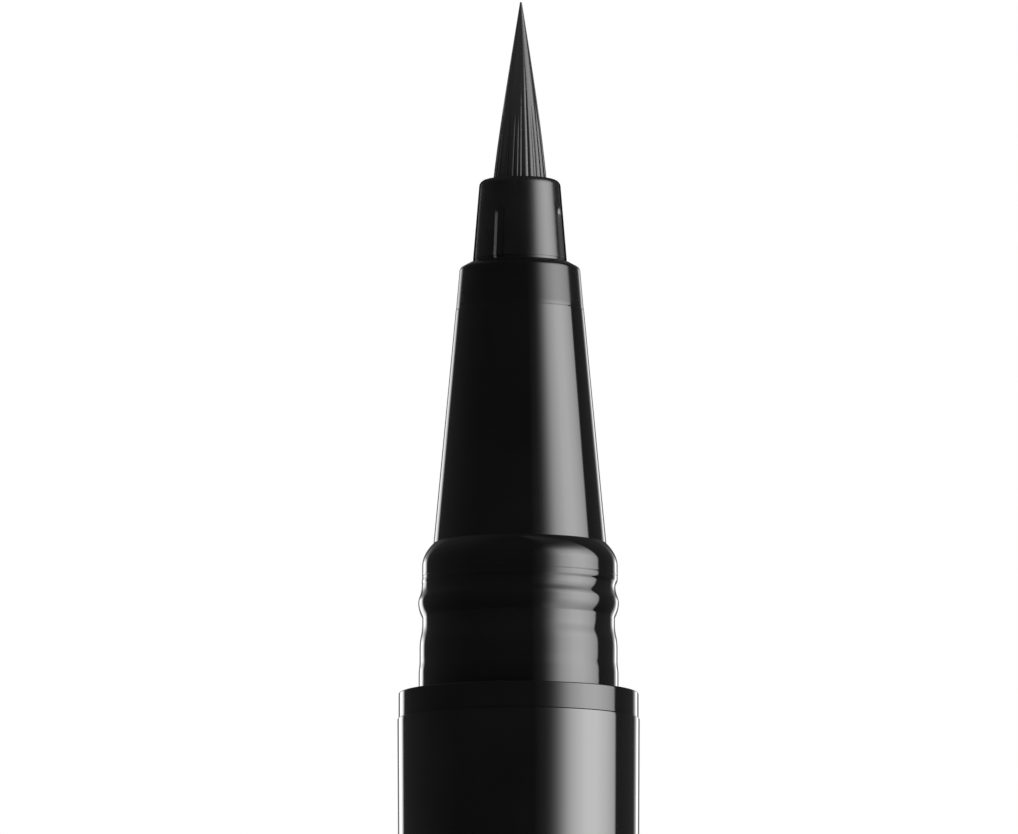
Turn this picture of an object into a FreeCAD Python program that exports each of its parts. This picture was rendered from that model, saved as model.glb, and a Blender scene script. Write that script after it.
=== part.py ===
import FreeCAD, Part
import math
import os

# A liquid eyeliner pen, tip up, standing on the cap that is posted on its tail.
# Lengths are millimetres. Z is the pen's axis, and z = 0 is the cap's closed end.

# Clearances, on the radius where the comment doesn't say along Z
PRESS_GAP = 0.02            # pieces that are pushed together for good
WICK_GAP = 0.03             # the wick in the collector and in the brush's root
FLANGE_GAP = 0.04           # the brush's flange and the collector's nose in the nozzle
FIN_GAP = 0.1               # the collector's fins in the front barrel
CAP_PLAY = 0.134            # the cap's mouth on the neck's land
SNAP_GAP = 0.03             # the cap's snap ring past the neck's bead
SLIDE_GAP = 0.1             # the inner cap in the cap
STOP_GAP = 0.05             # along Z, between a moving piece and the stop that it rests at

# Barrel, a tapered tube with its mouth at the front
BARREL_LENGTH = 90.0
BARREL_MOUTH_RADIUS = 5.25
BARREL_TAPER = 0.5          # how much less the radius is at the tail
BARREL_WALL = 0.9
BARREL_EDGE = 0.08          # rounding of the rims

# Neck that the cap snaps onto, the same on the front barrel and on the tail plug.
# Its lengths run away from the seat of the cap's rim, and its depths are below the land.
NECK_STEP = 0.884           # from the barrel's mouth radius in to the land
LAND_LENGTH = 1.115
RELIEF_DEPTH = 0.048
RELIEF_LENGTH = 1.055
WAIST_DEPTH = 0.166
WAIST_LENGTH = 0.83
BEAD_HEIGHT = 0.014         # above the land
BEAD_LENGTH = 0.965
GROOVE_DEPTH = 0.136
GROOVE_LENGTH = 0.745
COLUMN_DEPTH = 0.102
COLUMN_RISE = 0.26
COLUMN_LENGTH = 0.765
SHOULDER_INSET = 0.486      # from the column in to the end of the rounded shoulder
SHOULDER_LENGTH = 0.897

# Front barrel
COLLAR_INSET = 0.03         # from the barrel's mouth radius in to the collar
COLLAR_LENGTH = 1.0
COLLAR_EDGE = 0.13
CONE_LENGTH = 12.0
CONE_WALL = 0.95
RIM_LAND = 0.163            # width of the flat rim round the nozzle, its bore's chamfer included
RIM_CHAMFER = 0.425         # width of the slope from the cone to the rim
RIM_RISE = 0.236
MOUTH_BORE_LENGTH = 4.0
MOUTH_CHAMFER = 0.06
TANK_SEAT_DEPTH = 9.0       # from the barrel's mouth down to the tank's rim
SOCKET_LENGTH = 5.0
SOCKET_WALL = 0.652
SHANK_LEAD = 0.2            # chamfer that leads a shank into its bore

# Brush and nozzle
BRUSH_RADIUS = 1.17
BRUSH_LENGTH = 7.858        # from the nozzle's mouth to the point
BRUSH_POINT_RADIUS = 0.02
BRUSH_BULGE_LENGTH_SHARE = 0.306
BRUSH_BULGE_RADIUS_SHARE = 0.787
BRUSH_HANDLE_SHARE = 0.78
BRUSH_FLANGE_STEP = 0.29
BRUSH_FLANGE_THICKNESS = 0.6
BRUSH_SEAT_DEPTH = 0.96     # from the front barrel's rim down to the top of the flange
NOZZLE_LENGTH = 3.64        # from the front barrel's rim to the nozzle's mouth
NOZZLE_LIP = 0.56           # width of the nozzle's mouth round the brush
NOZZLE_EDGE = 0.2
NOZZLE_TAPER = 0.29
NOZZLE_STEP = 0.03          # from the nozzle's widest radius in to its shank
NOZZLE_STEP_HEIGHT = 0.184  # of that step above the front barrel's rim
NOZZLE_SHANK_LENGTH = 5.5
VENT_COUNT = 4
VENT_WIDTH = 0.48
VENT_DEPTH = 0.14           # into the nozzle's shank
VENT_TURN_DEGREES = 62.5    # of the first air vent from +X

# Wick, collector and ink tank
WICK_RADIUS = 0.75
WICK_POINT_LENGTH = 1.6
WICK_REACH = 2.0            # below the tank's rim
COLLECTOR_CORE_STEP = 0.14  # from the nose out to the core
COLLECTOR_FLANGE_THICKNESS = 1.0
FIN_PITCH = 0.7
FIN_THICKNESS = 0.35
NOTCH_WIDTH = 0.9           # air notch through the fins
NOTCH_DEPTH = 0.1           # into the core
SLIT_WIDTH = 0.18           # ink slit from the wick to the fins
TANK_LENGTH = 46.0
TANK_WALL = 0.7
TANK_FLOOR = 0.8
TANK_LEDGE = 0.22           # how far the collector's bore is wider than the tank's
BALL_RADIUS = 1.5

# Tail plug
PLUG_SHANK_LENGTH = 6.0
PLUG_WALL = 0.53
PLUG_FLOOR = 1.2

# Cap, its sprung inner cap and the spring
CAP_TAPER = 0.4             # how much less the radius is at the closed end
CAP_END_WALL = 1.2
CAP_END_EDGE = 0.6
CAP_LEAD = 0.1              # chamfer of the mouth
CAP_MOUTH_ROOM = 0.868      # depth of the wide mouth past the end of the neck's shoulder
SNAP_RING_LENGTH = 0.9
RIDGE_LENGTH = 0.65
INNER_CAP_WALL = 0.55
INNER_CAP_END_WALL = 0.8
INNER_CAP_EDGE = 0.15
INNER_FLANGE_STEP = 0.3
INNER_FLANGE_THICKNESS = 0.9
SEAL_SHARE = 0.584          # place on the cone where the inner cap's lip seals
SEAL_SQUEEZE = 1.5          # how far the neck pushes the inner cap back
TIP_ROOM = 0.75             # from the brush's point to the inner cap's end wall
SPRING_WIRE = 0.35          # diameter of the wire
SPRING_RADIUS = 2.6         # of the middle of the wire
SPRING_TURNS = 5
SPRING_PRESSED_LENGTH = 4.9

OVERRUN = 1.0               # of every cut past the piece that it cuts
QUARTERS_IN_TURN = 4
GAP_SAMPLES_IN_TURN = 72
ORIGIN = FreeCAD.Vector(0, 0, 0)
UP = FreeCAD.Vector(0, 0, 1)
FULL_TURN_DEGREES = 360

# Neck: radii, and distances from the seat
land_radius = BARREL_MOUTH_RADIUS - NECK_STEP
relief_radius = land_radius - RELIEF_DEPTH
waist_radius = land_radius - WAIST_DEPTH
bead_radius = land_radius + BEAD_HEIGHT
groove_radius = land_radius - GROOVE_DEPTH
column_radius = land_radius - COLUMN_DEPTH
shoulder_radius = column_radius - SHOULDER_INSET
relief_end = LAND_LENGTH + RELIEF_LENGTH
waist_at = relief_end + WAIST_LENGTH
bead_at = waist_at + BEAD_LENGTH
groove_at = bead_at + GROOVE_LENGTH
column_start = groove_at + COLUMN_RISE
column_end = column_start + COLUMN_LENGTH
shoulder_end = column_end + SHOULDER_LENGTH

# Radii of the front, from the brush outwards
brush_bore_radius = BRUSH_RADIUS + PRESS_GAP
brush_flange_radius = BRUSH_RADIUS + BRUSH_FLANGE_STEP
flange_bore_radius = brush_flange_radius + FLANGE_GAP
nozzle_top_radius = brush_bore_radius + NOZZLE_LIP
nozzle_base_radius = nozzle_top_radius + NOZZLE_TAPER
nozzle_shank_radius = nozzle_base_radius - NOZZLE_STEP
mouth_bore_radius = nozzle_shank_radius + PRESS_GAP
rim_radius = mouth_bore_radius + RIM_LAND
cone_top_radius = rim_radius + RIM_CHAMFER
wick_bore_radius = WICK_RADIUS + WICK_GAP
collector_core_radius = brush_flange_radius + COLLECTOR_CORE_STEP

# Heights, from the cap's closed end up to the brush's point
rim_from_seat = shoulder_end + CONE_LENGTH + RIM_RISE
point_from_seat = rim_from_seat + NOZZLE_LENGTH + BRUSH_LENGTH
spring_length = SPRING_PRESSED_LENGTH + SEAL_SQUEEZE
cap_length = point_from_seat + TIP_ROOM + INNER_CAP_END_WALL + SPRING_PRESSED_LENGTH + CAP_END_WALL
tail_z = cap_length + STOP_GAP
mouth_z = tail_z + BARREL_LENGTH
seat_z = mouth_z + COLLAR_LENGTH
column_end_z = seat_z + column_end
cone_base_z = seat_z + shoulder_end
cone_top_z = cone_base_z + CONE_LENGTH
rim_z = seat_z + rim_from_seat
mouth_bore_z = rim_z - MOUTH_BORE_LENGTH
nozzle_top_z = rim_z + NOZZLE_LENGTH
nozzle_end_z = rim_z - NOZZLE_SHANK_LENGTH
point_z = nozzle_top_z + BRUSH_LENGTH
brush_seat_z = rim_z - BRUSH_SEAT_DEPTH
brush_root_z = brush_seat_z - BRUSH_FLANGE_THICKNESS
tank_rim_z = mouth_z - TANK_SEAT_DEPTH
tank_end_z = tank_rim_z - TANK_LENGTH
shank_end_z = tank_rim_z - SOCKET_LENGTH


def between(height, low, low_radius, high, high_radius):
    """Radius at a height on the straight line between two points."""
    return low_radius + (high_radius - low_radius) * (height - low) / (high - low)


def barrel_radius(height):
    """Outer radius of the barrel at a height."""
    return between(height, tail_z, BARREL_MOUTH_RADIUS - BARREL_TAPER, mouth_z, BARREL_MOUTH_RADIUS)


def barrel_bore_radius(height):
    return barrel_radius(height) - BARREL_WALL


# Radii that follow from the barrel's bore
socket_radius = barrel_bore_radius(shank_end_z) - PRESS_GAP - SOCKET_WALL
tank_radius = socket_radius - PRESS_GAP
tank_bore_radius = tank_radius - TANK_WALL
collector_bore_radius = tank_bore_radius + TANK_LEDGE
plug_radius = barrel_bore_radius(tail_z) - PRESS_GAP

# Cap and inner cap
cap_bore_radius = land_radius + CAP_PLAY
snap_ring_radius = bead_radius + SNAP_GAP
seal_radius = shoulder_radius + (cone_top_radius - shoulder_radius) * SEAL_SHARE
inner_cap_radius = seal_radius + INNER_CAP_WALL
inner_flange_radius = inner_cap_radius + INNER_FLANGE_STEP
cap_well_radius = inner_flange_radius + SLIDE_GAP
inner_cap_z = CAP_END_WALL + spring_length
inner_floor_z = inner_cap_z + INNER_CAP_END_WALL
inner_flange_z = inner_cap_z + INNER_FLANGE_THICKNESS
lip_z = cap_length - (shoulder_end + CONE_LENGTH * SEAL_SHARE - SEAL_SQUEEZE)


class Outline:
    """A closed outline of radius against height, which solid() turns about Z."""

    def __init__(self, radius, height):
        self.start = FreeCAD.Vector(radius, 0, height)
        self.end = self.start
        self.corner = None
        self.edges = []

    def add(self, curve, end):
        self.edges.append(curve.toShape())
        self.end = end

    def line(self, radius, height, fillet=0):
        """Runs straight to a point, where the corner is rounded off if it has a fillet."""
        point = FreeCAD.Vector(radius, 0, height)
        if self.corner:
            self.round_corner(point)
        if fillet:
            self.corner = (point, fillet)
        else:
            self.add(Part.LineSegment(self.end, point), point)

    def round_corner(self, following):
        vertex, fillet = self.corner
        back = (self.end - vertex).normalize()
        ahead = (following - vertex).normalize()
        half_angle = back.getAngle(ahead) / 2
        reach = fillet / math.tan(half_angle)
        first = vertex + back * reach
        last = vertex + ahead * reach
        inward = (back + ahead).normalize()
        middle = vertex + inward * (fillet / math.sin(half_angle) - fillet)
        self.corner = None
        self.add(Part.LineSegment(self.end, first), first)
        self.add(Part.Arc(first, middle, last), last)

    def bend(self, radius, height):
        """Runs to a point on an arc that leaves parallel to the axis."""
        inset = self.end.x - radius
        rise = height - self.end.z
        size = (inset * inset + rise * rise) / (2 * inset)
        half_angle = math.atan2(abs(rise), size - inset) / 2
        middle_radius = self.end.x - size * (1 - math.cos(half_angle))
        middle_height = self.end.z + math.copysign(size * math.sin(half_angle), rise)
        end = FreeCAD.Vector(radius, 0, height)
        self.add(Part.Arc(self.end, FreeCAD.Vector(middle_radius, 0, middle_height), end), end)

    def bezier(self, *poles):
        """Runs along a curve with the given (radius, height) poles to the last of them."""
        points = [FreeCAD.Vector(radius, 0, height) for radius, height in poles]
        curve = Part.BezierCurve()
        curve.setPoles([self.end] + points)
        self.add(curve, points[-1])

    def swell(self, radius, height):
        """Runs to a point in an S that starts and ends parallel to the axis."""
        middle = (self.end.z + height) / 2
        self.bezier((self.end.x, middle), (radius, middle), (radius, height))

    def solid(self):
        self.line(self.start.x, self.start.z)
        face = Part.Face(Part.Wire(self.edges))
        return face.revolve(ORIGIN, UP, FULL_TURN_DEGREES)


def snap_neck(outline, seat, way):
    """Carries an outline from the cap's seat along the neck; way is 1 up the pen, -1 down it."""
    outline.line(land_radius, seat + way * LAND_LENGTH)
    outline.line(relief_radius, seat + way * (LAND_LENGTH + RELIEF_DEPTH))
    outline.line(relief_radius, seat + way * relief_end)
    outline.swell(waist_radius, seat + way * waist_at)
    outline.swell(bead_radius, seat + way * bead_at)
    outline.swell(groove_radius, seat + way * groove_at)
    outline.swell(column_radius, seat + way * column_start)
    outline.line(column_radius, seat + way * column_end)
    outline.bend(shoulder_radius, seat + way * shoulder_end)


def barrel():
    outline = Outline(barrel_bore_radius(tail_z), tail_z)
    outline.line(barrel_radius(tail_z), tail_z, BARREL_EDGE)
    outline.line(BARREL_MOUTH_RADIUS, mouth_z, BARREL_EDGE)
    outline.line(barrel_bore_radius(mouth_z), mouth_z)
    return outline.solid()


def front_barrel():
    """The visible collar, neck and cone, with a shank in the barrel and the collector's chamber inside."""
    collar_radius = BARREL_MOUTH_RADIUS - COLLAR_INSET
    shank_end_radius = barrel_bore_radius(shank_end_z) - PRESS_GAP
    shank_radius = barrel_bore_radius(mouth_z) - PRESS_GAP
    outline = Outline(socket_radius, shank_end_z)
    outline.line(shank_end_radius - SHANK_LEAD, shank_end_z)
    outline.line(shank_end_radius, shank_end_z + SHANK_LEAD)
    outline.line(shank_radius, mouth_z)
    outline.line(collar_radius, mouth_z, BARREL_EDGE)
    outline.line(collar_radius, seat_z, COLLAR_EDGE)
    outline.line(land_radius, seat_z)
    snap_neck(outline, seat_z, 1)
    outline.line(cone_top_radius, cone_top_z)
    outline.line(rim_radius, rim_z)
    outline.line(mouth_bore_radius + MOUTH_CHAMFER, rim_z)
    outline.line(mouth_bore_radius, rim_z - MOUTH_CHAMFER)
    outline.line(mouth_bore_radius, mouth_bore_z)
    outline.line(shoulder_radius - CONE_WALL, cone_base_z)
    outline.line(collector_bore_radius, column_end_z)
    outline.line(collector_bore_radius, tank_rim_z)
    outline.line(socket_radius, tank_rim_z)
    return outline.solid()


def chamber_radius(height):
    """Radius of the front barrel's chamber, which narrows in the shoulder and again in the cone."""
    cone_bore_radius = shoulder_radius - CONE_WALL
    if height <= column_end_z:
        return collector_bore_radius
    if height <= cone_base_z:
        return between(height, column_end_z, collector_bore_radius, cone_base_z, cone_bore_radius)
    return between(height, cone_base_z, cone_bore_radius, mouth_bore_z, mouth_bore_radius)


def tip_nozzle():
    """The tapered nozzle round the brush, with air vents cut along its shank and lower half."""
    outline = Outline(flange_bore_radius, nozzle_end_z)
    outline.line(nozzle_shank_radius - VENT_DEPTH, nozzle_end_z)
    outline.line(nozzle_shank_radius, nozzle_end_z + VENT_DEPTH)
    outline.line(nozzle_shank_radius, rim_z + NOZZLE_STEP_HEIGHT)
    outline.line(nozzle_base_radius, rim_z + NOZZLE_STEP_HEIGHT)
    outline.line(nozzle_top_radius, nozzle_top_z, NOZZLE_EDGE)
    outline.line(brush_bore_radius, nozzle_top_z)
    outline.line(brush_bore_radius, brush_seat_z)
    outline.line(flange_bore_radius, brush_seat_z)
    nozzle = outline.solid()
    floor_distance = nozzle_shank_radius - VENT_DEPTH
    corner = FreeCAD.Vector(floor_distance, -VENT_WIDTH / 2, nozzle_end_z - OVERRUN)
    for index in range(VENT_COUNT):
        vent = Part.makeBox(OVERRUN, VENT_WIDTH, nozzle_top_z - corner.z, corner)
        vent.rotate(ORIGIN, UP, VENT_TURN_DEGREES + FULL_TURN_DEGREES * index / VENT_COUNT)
        nozzle = nozzle.cut(vent)
    return nozzle


def brush_tuft():
    """The pointed brush, with a flange fused at its root and a hollow there for the wick's point."""
    bulge_radius = BRUSH_RADIUS * BRUSH_BULGE_RADIUS_SHARE
    bulge_z = nozzle_top_z + BRUSH_LENGTH * BRUSH_BULGE_LENGTH_SHARE
    root_handle = (
        BRUSH_RADIUS + (bulge_radius - BRUSH_RADIUS) * BRUSH_HANDLE_SHARE,
        nozzle_top_z + (bulge_z - nozzle_top_z) * BRUSH_HANDLE_SHARE,
    )
    point_handle = (
        BRUSH_POINT_RADIUS + (bulge_radius - BRUSH_POINT_RADIUS) * BRUSH_HANDLE_SHARE,
        point_z + (bulge_z - point_z) * BRUSH_HANDLE_SHARE,
    )
    outline = Outline(wick_bore_radius, brush_root_z)
    outline.line(brush_flange_radius, brush_root_z)
    outline.line(brush_flange_radius, brush_seat_z)
    outline.line(BRUSH_RADIUS, brush_seat_z)
    outline.line(BRUSH_RADIUS, nozzle_top_z)
    outline.bezier(root_handle, point_handle, (BRUSH_POINT_RADIUS, point_z))
    outline.line(0, point_z)
    outline.line(0, brush_root_z + WICK_POINT_LENGTH + WICK_GAP)
    return outline.solid()


def relay_wick():
    """The fibre rod that carries ink from the tank to the brush's root."""
    outline = Outline(0, tank_rim_z - WICK_REACH)
    outline.line(WICK_RADIUS, tank_rim_z - WICK_REACH)
    outline.line(WICK_RADIUS, brush_root_z)
    outline.line(0, brush_root_z + WICK_POINT_LENGTH)
    return outline.solid()


def ink_collector():
    """The finned collector round the wick, with an air notch and an ink slit along its fins."""
    shoulder_z = nozzle_end_z - STOP_GAP
    fin_space = FIN_PITCH - FIN_THICKNESS
    first_fin_z = tank_rim_z + COLLECTOR_FLANGE_THICKNESS + fin_space
    fin_count = int((shoulder_z - first_fin_z) / FIN_PITCH)
    flange_radius = collector_bore_radius - PRESS_GAP
    outline = Outline(wick_bore_radius, tank_rim_z)
    outline.line(flange_radius, tank_rim_z)
    outline.line(flange_radius, tank_rim_z + COLLECTOR_FLANGE_THICKNESS)
    outline.line(collector_core_radius, tank_rim_z + COLLECTOR_FLANGE_THICKNESS)
    for index in range(fin_count):
        low = first_fin_z + index * FIN_PITCH
        high = low + FIN_THICKNESS
        outline.line(collector_core_radius, low)
        outline.line(chamber_radius(low) - FIN_GAP, low)
        outline.line(chamber_radius(high) - FIN_GAP, high)
        outline.line(collector_core_radius, high)
    outline.line(collector_core_radius, shoulder_z)
    outline.line(brush_flange_radius, shoulder_z)
    outline.line(brush_flange_radius, brush_root_z)
    outline.line(wick_bore_radius, brush_root_z)
    collector = outline.solid()
    cut_z = tank_rim_z - OVERRUN
    cut_height = first_fin_z + fin_count * FIN_PITCH - fin_space / 2 - cut_z
    cut_reach = collector_bore_radius + OVERRUN
    notch_floor = collector_core_radius - NOTCH_DEPTH
    notch_corner = FreeCAD.Vector(notch_floor, -NOTCH_WIDTH / 2, cut_z)
    slit_corner = FreeCAD.Vector(-cut_reach, -SLIT_WIDTH / 2, cut_z)
    notch = Part.makeBox(cut_reach - notch_floor, NOTCH_WIDTH, cut_height, notch_corner)
    slit = Part.makeBox(cut_reach, SLIT_WIDTH, cut_height, slit_corner)
    return collector.cut(notch).cut(slit)


def ink_tank():
    """The cup that holds the ink, pressed into the front barrel's socket."""
    outline = Outline(0, tank_end_z)
    outline.line(tank_radius, tank_end_z, TANK_FLOOR)
    outline.line(tank_radius, tank_rim_z)
    outline.line(tank_bore_radius, tank_rim_z)
    outline.line(tank_bore_radius, tank_end_z + TANK_FLOOR)
    outline.line(0, tank_end_z + TANK_FLOOR)
    return outline.solid()


def stirring_ball():
    """The steel ball that stirs the ink, resting on the tank's floor."""
    centre_z = tank_end_z + TANK_FLOOR + PRESS_GAP + BALL_RADIUS
    return Part.makeSphere(BALL_RADIUS, FreeCAD.Vector(0, 0, centre_z))


def tail_plug():
    """The plug in the barrel's tail, with a neck below it for the posted cap."""
    plug_top_z = tail_z + PLUG_SHANK_LENGTH
    recess_radius = plug_radius - PLUG_WALL
    outline = Outline(0, plug_top_z)
    outline.line(plug_radius - SHANK_LEAD, plug_top_z)
    outline.line(plug_radius, plug_top_z - SHANK_LEAD)
    outline.line(plug_radius, tail_z)
    outline.line(land_radius, tail_z)
    snap_neck(outline, tail_z, -1)
    outline.line(recess_radius, tail_z - shoulder_end)
    outline.line(recess_radius, plug_top_z - PLUG_FLOOR)
    outline.line(0, plug_top_z - PLUG_FLOOR)
    return outline.solid()


def cap_shell():
    """The cap, with a snap ring in its mouth and a ridge that keeps the inner cap in."""
    ring_z = cap_length - waist_at
    mouth_end_z = cap_length - shoulder_end - CAP_MOUTH_ROOM
    ridge_radius = inner_cap_radius + SLIDE_GAP
    ridge_z = inner_flange_z + STOP_GAP
    outline = Outline(0, 0)
    outline.line(BARREL_MOUTH_RADIUS - CAP_TAPER, 0, CAP_END_EDGE)
    outline.line(BARREL_MOUTH_RADIUS, cap_length, BARREL_EDGE)
    outline.line(cap_bore_radius + CAP_LEAD, cap_length)
    outline.line(cap_bore_radius, cap_length - CAP_LEAD)
    outline.line(cap_bore_radius, ring_z + SNAP_RING_LENGTH / 2)
    outline.swell(snap_ring_radius, ring_z)
    outline.swell(cap_bore_radius, ring_z - SNAP_RING_LENGTH / 2)
    outline.line(cap_bore_radius, mouth_end_z)
    outline.line(cap_well_radius, mouth_end_z)
    outline.line(cap_well_radius, ridge_z + RIDGE_LENGTH)
    outline.line(ridge_radius, ridge_z + RIDGE_LENGTH)
    outline.line(ridge_radius, ridge_z)
    outline.line(cap_well_radius, ridge_z)
    outline.line(cap_well_radius, CAP_END_WALL)
    outline.line(0, CAP_END_WALL)
    return outline.solid()


def inner_cap():
    """The sprung cup in the cap, whose lip seals on the cone when the pen is closed."""
    outline = Outline(0, inner_cap_z)
    outline.line(inner_flange_radius, inner_cap_z)
    outline.line(inner_flange_radius, inner_flange_z)
    outline.line(inner_cap_radius, inner_flange_z)
    outline.line(inner_cap_radius, lip_z, INNER_CAP_EDGE)
    outline.line(seal_radius, lip_z)
    outline.line(seal_radius, inner_floor_z)
    outline.line(0, inner_floor_z)
    return outline.solid()


def arc_from(start, direction, end):
    """The arc that leaves a point in a direction and runs to another point."""
    chord = end - start
    along = FreeCAD.Vector(chord).normalize()
    bulge = (direction - along * direction.dot(along)).normalize()
    height = chord.Length / 2 * math.tan(direction.getAngle(chord) / 2)
    return Part.Arc(start, start + chord / 2 + bulge * height, end)


def cap_spring():
    """The coil spring behind the inner cap, a wire swept along two arcs for each quarter of a turn."""
    wire_radius = SPRING_WIRE / 2
    low_z = CAP_END_WALL + PRESS_GAP + wire_radius
    pitch = (inner_cap_z - PRESS_GAP - wire_radius - low_z) / SPRING_TURNS

    def place(turns):
        angle = 2 * math.pi * turns
        across = FreeCAD.Vector(math.cos(angle), math.sin(angle), 0)
        return across * SPRING_RADIUS + UP * (low_z + pitch * turns)

    def heading(turns):
        angle = 2 * math.pi * turns
        across = FreeCAD.Vector(-math.sin(angle), math.cos(angle), 0)
        return (across * (2 * math.pi * SPRING_RADIUS) + UP * pitch).normalize()

    edges = []
    for quarter in range(SPRING_TURNS * QUARTERS_IN_TURN):
        turns = quarter / QUARTERS_IN_TURN
        next_turns = (quarter + 1) / QUARTERS_IN_TURN
        start = place(turns)
        end = place(next_turns)
        leaving = heading(turns)
        arriving = heading(next_turns)
        chord = end - start
        along = chord.dot(leaving + arriving)
        spread = 2 * (1 - leaving.dot(arriving))
        reach = (math.sqrt(along * along + spread * chord.dot(chord)) - along) / spread
        joint = (start + end + (leaving - arriving) * reach) / 2
        edges.append(arc_from(start, leaving, joint).toShape())
        edges.append(arc_from(end, arriving * -1, joint).toShape())
    section = Part.Wire(Part.Circle(place(0), heading(0), wire_radius).toShape())
    sweep = Part.BRepOffsetAPI.MakePipeShell(Part.Wire(Part.__sortEdges__(edges)))
    sweep.add(section)
    sweep.build()
    sweep.makeSolid()
    samples = range(GAP_SAMPLES_IN_TURN * (SPRING_TURNS - 1))
    next_turn = [
        (place(index / GAP_SAMPLES_IN_TURN + 1), place(index / GAP_SAMPLES_IN_TURN))
        for index in samples
    ]
    least_gap = min((upper - lower).Length for upper, lower in next_turn) - SPRING_WIRE
    print("least gap between the spring's turns, mm:", round(least_gap, 3))
    return sweep.shape()


PIECES = [
    brush_tuft,
    tip_nozzle,
    front_barrel,
    relay_wick,
    ink_collector,
    ink_tank,
    stirring_ball,
    barrel,
    tail_plug,
    cap_shell,
    inner_cap,
    cap_spring,
]

os.makedirs("parts", exist_ok=True)
for piece in PIECES:
    shape = piece()
    shape.exportStep("parts/" + piece.__name__ + ".step")
    print(piece.__name__, "volume, mm3:", round(shape.Volume, 3))
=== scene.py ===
"""Visible surfaces, finishes and studio of a liquid eyeliner pen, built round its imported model."""

import math

import bpy
import numpy as np
from bpy.props import FloatProperty, FloatVectorProperty, IntProperty, PointerProperty
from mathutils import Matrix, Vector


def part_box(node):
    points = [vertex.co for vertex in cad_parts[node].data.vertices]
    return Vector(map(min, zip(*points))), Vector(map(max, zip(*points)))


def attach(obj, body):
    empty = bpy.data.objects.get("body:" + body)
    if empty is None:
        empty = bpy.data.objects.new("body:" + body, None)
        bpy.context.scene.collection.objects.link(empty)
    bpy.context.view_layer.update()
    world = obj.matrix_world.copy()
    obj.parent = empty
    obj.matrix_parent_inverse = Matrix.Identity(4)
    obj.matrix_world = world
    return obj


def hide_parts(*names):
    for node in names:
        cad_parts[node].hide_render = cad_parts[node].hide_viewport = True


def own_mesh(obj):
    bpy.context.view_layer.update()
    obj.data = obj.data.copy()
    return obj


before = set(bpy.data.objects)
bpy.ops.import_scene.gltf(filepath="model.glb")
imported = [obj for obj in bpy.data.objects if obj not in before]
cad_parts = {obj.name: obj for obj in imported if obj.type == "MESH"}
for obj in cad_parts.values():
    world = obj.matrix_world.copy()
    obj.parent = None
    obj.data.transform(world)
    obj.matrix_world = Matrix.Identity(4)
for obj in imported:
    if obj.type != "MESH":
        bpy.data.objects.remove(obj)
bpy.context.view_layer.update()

bl_info = {
    "name": "Liquid eyeliner pen",
    "version": (1, 0, 0),
    "blender": (4, 5, 0),
    "location": "View3D > Sidebar > Eyeliner",
    "description": "Builds the visible surfaces of a liquid eyeliner pen round its packed model",
    "category": "Object",
}

MM = 0.001

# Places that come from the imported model
BARREL_LOW, BARREL_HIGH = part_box("barrel")
FRONT_LOW, FRONT_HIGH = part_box("front_barrel")
NOZZLE_LOW, NOZZLE_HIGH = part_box("tip_nozzle")
BRUSH_LOW, BRUSH_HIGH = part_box("brush_tuft")
PLUG_LOW, PLUG_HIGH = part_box("tail_plug")
CAP_LOW, CAP_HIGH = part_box("cap_shell")
INNER_CAP_LOW, INNER_CAP_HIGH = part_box("inner_cap")
SPRING_LOW, SPRING_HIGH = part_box("cap_spring")
WICK_LOW, WICK_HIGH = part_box("relay_wick")
TAIL_Z = BARREL_LOW.z
MOUTH_Z = BARREL_HIGH.z
RIM_Z = FRONT_HIGH.z
NOZZLE_TOP_Z = NOZZLE_HIGH.z
TANK_RIM_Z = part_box("ink_tank")[1].z
MOUTH_RADIUS = BARREL_HIGH.x

# Barrel
BARREL_TAPER = 0.5 * MM
BARREL_WALL = 0.9 * MM
BARREL_EDGE = 0.035 * MM
PRESS_GAP = 0.02 * MM
SMALL_EDGE = 0.03 * MM

# Snap neck: lengths run away from the cap's seat, and depths are below the land
LAND_RADIUS = MOUTH_RADIUS - 0.918 * MM
FOOT_DEPTH = 0.03 * MM
LAND_START = 0.5 * MM
LAND_END = 0.85 * MM
RELIEF_DEPTH = 0.04 * MM
RELIEF_START = 1.5 * MM
RELIEF_END = 2.0 * MM
WAIST_DEPTH = 0.156 * MM
WAIST_START = 3.12 * MM
WAIST_END = 3.33 * MM
BEAD_HEIGHT = 0.02 * MM
BEAD_AT = 4.01 * MM
GROOVE_DEPTH = 0.132 * MM
GROOVE_AT = 4.75 * MM
COLUMN_DEPTH = 0.091 * MM
COLUMN_START = 4.97 * MM
COLUMN_END = 5.62 * MM
NECK_LINE_AT = 5.16 * MM
NECK_LINE_STEPS = 5
SHOULDER_INSET = 0.488 * MM
SHOULDER_END = 6.595 * MM
COLUMN_RADIUS = LAND_RADIUS - COLUMN_DEPTH
SHOULDER_RADIUS = COLUMN_RADIUS - SHOULDER_INSET
# Shares of the height where the handles stand in the S to the bead and in the S to the groove
BEAD_HANDLES = (0.1, 0.45)
GROOVE_HANDLES = (0.32, 0.45)

# Front barrel
COLLAR_INSET = 0.05 * MM
COLLAR_LENGTH = 1.0 * MM
COLLAR_EDGE = 0.06 * MM
SEAT_Z = MOUTH_Z + COLLAR_LENGTH
COLLAR_TOP_Z = SEAT_Z + 0.09 * MM
SEAM_Z = MOUTH_Z - 0.05 * MM
PARTING_Z = SEAT_Z + 4.88 * MM
PARTING_BLEND = 0.2 * MM
CHAMBER_END_Z = SEAT_Z + 5.735 * MM
CONE_RING_Z = SEAT_Z + 16.76 * MM
CONE_RING_STEP = 0.015 * MM
CONE_RING_LENGTH = 0.05 * MM
SATIN_BLEND = 0.25 * MM
CONE_WALL = 0.95 * MM
CONE_BASE_Z = SEAT_Z + SHOULDER_END
CONE_TOP_Z = RIM_Z - 0.236 * MM
CONE_TOP_RADIUS = 2.618 * MM
CONE_TOP_EDGE = 0.2 * MM
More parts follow.
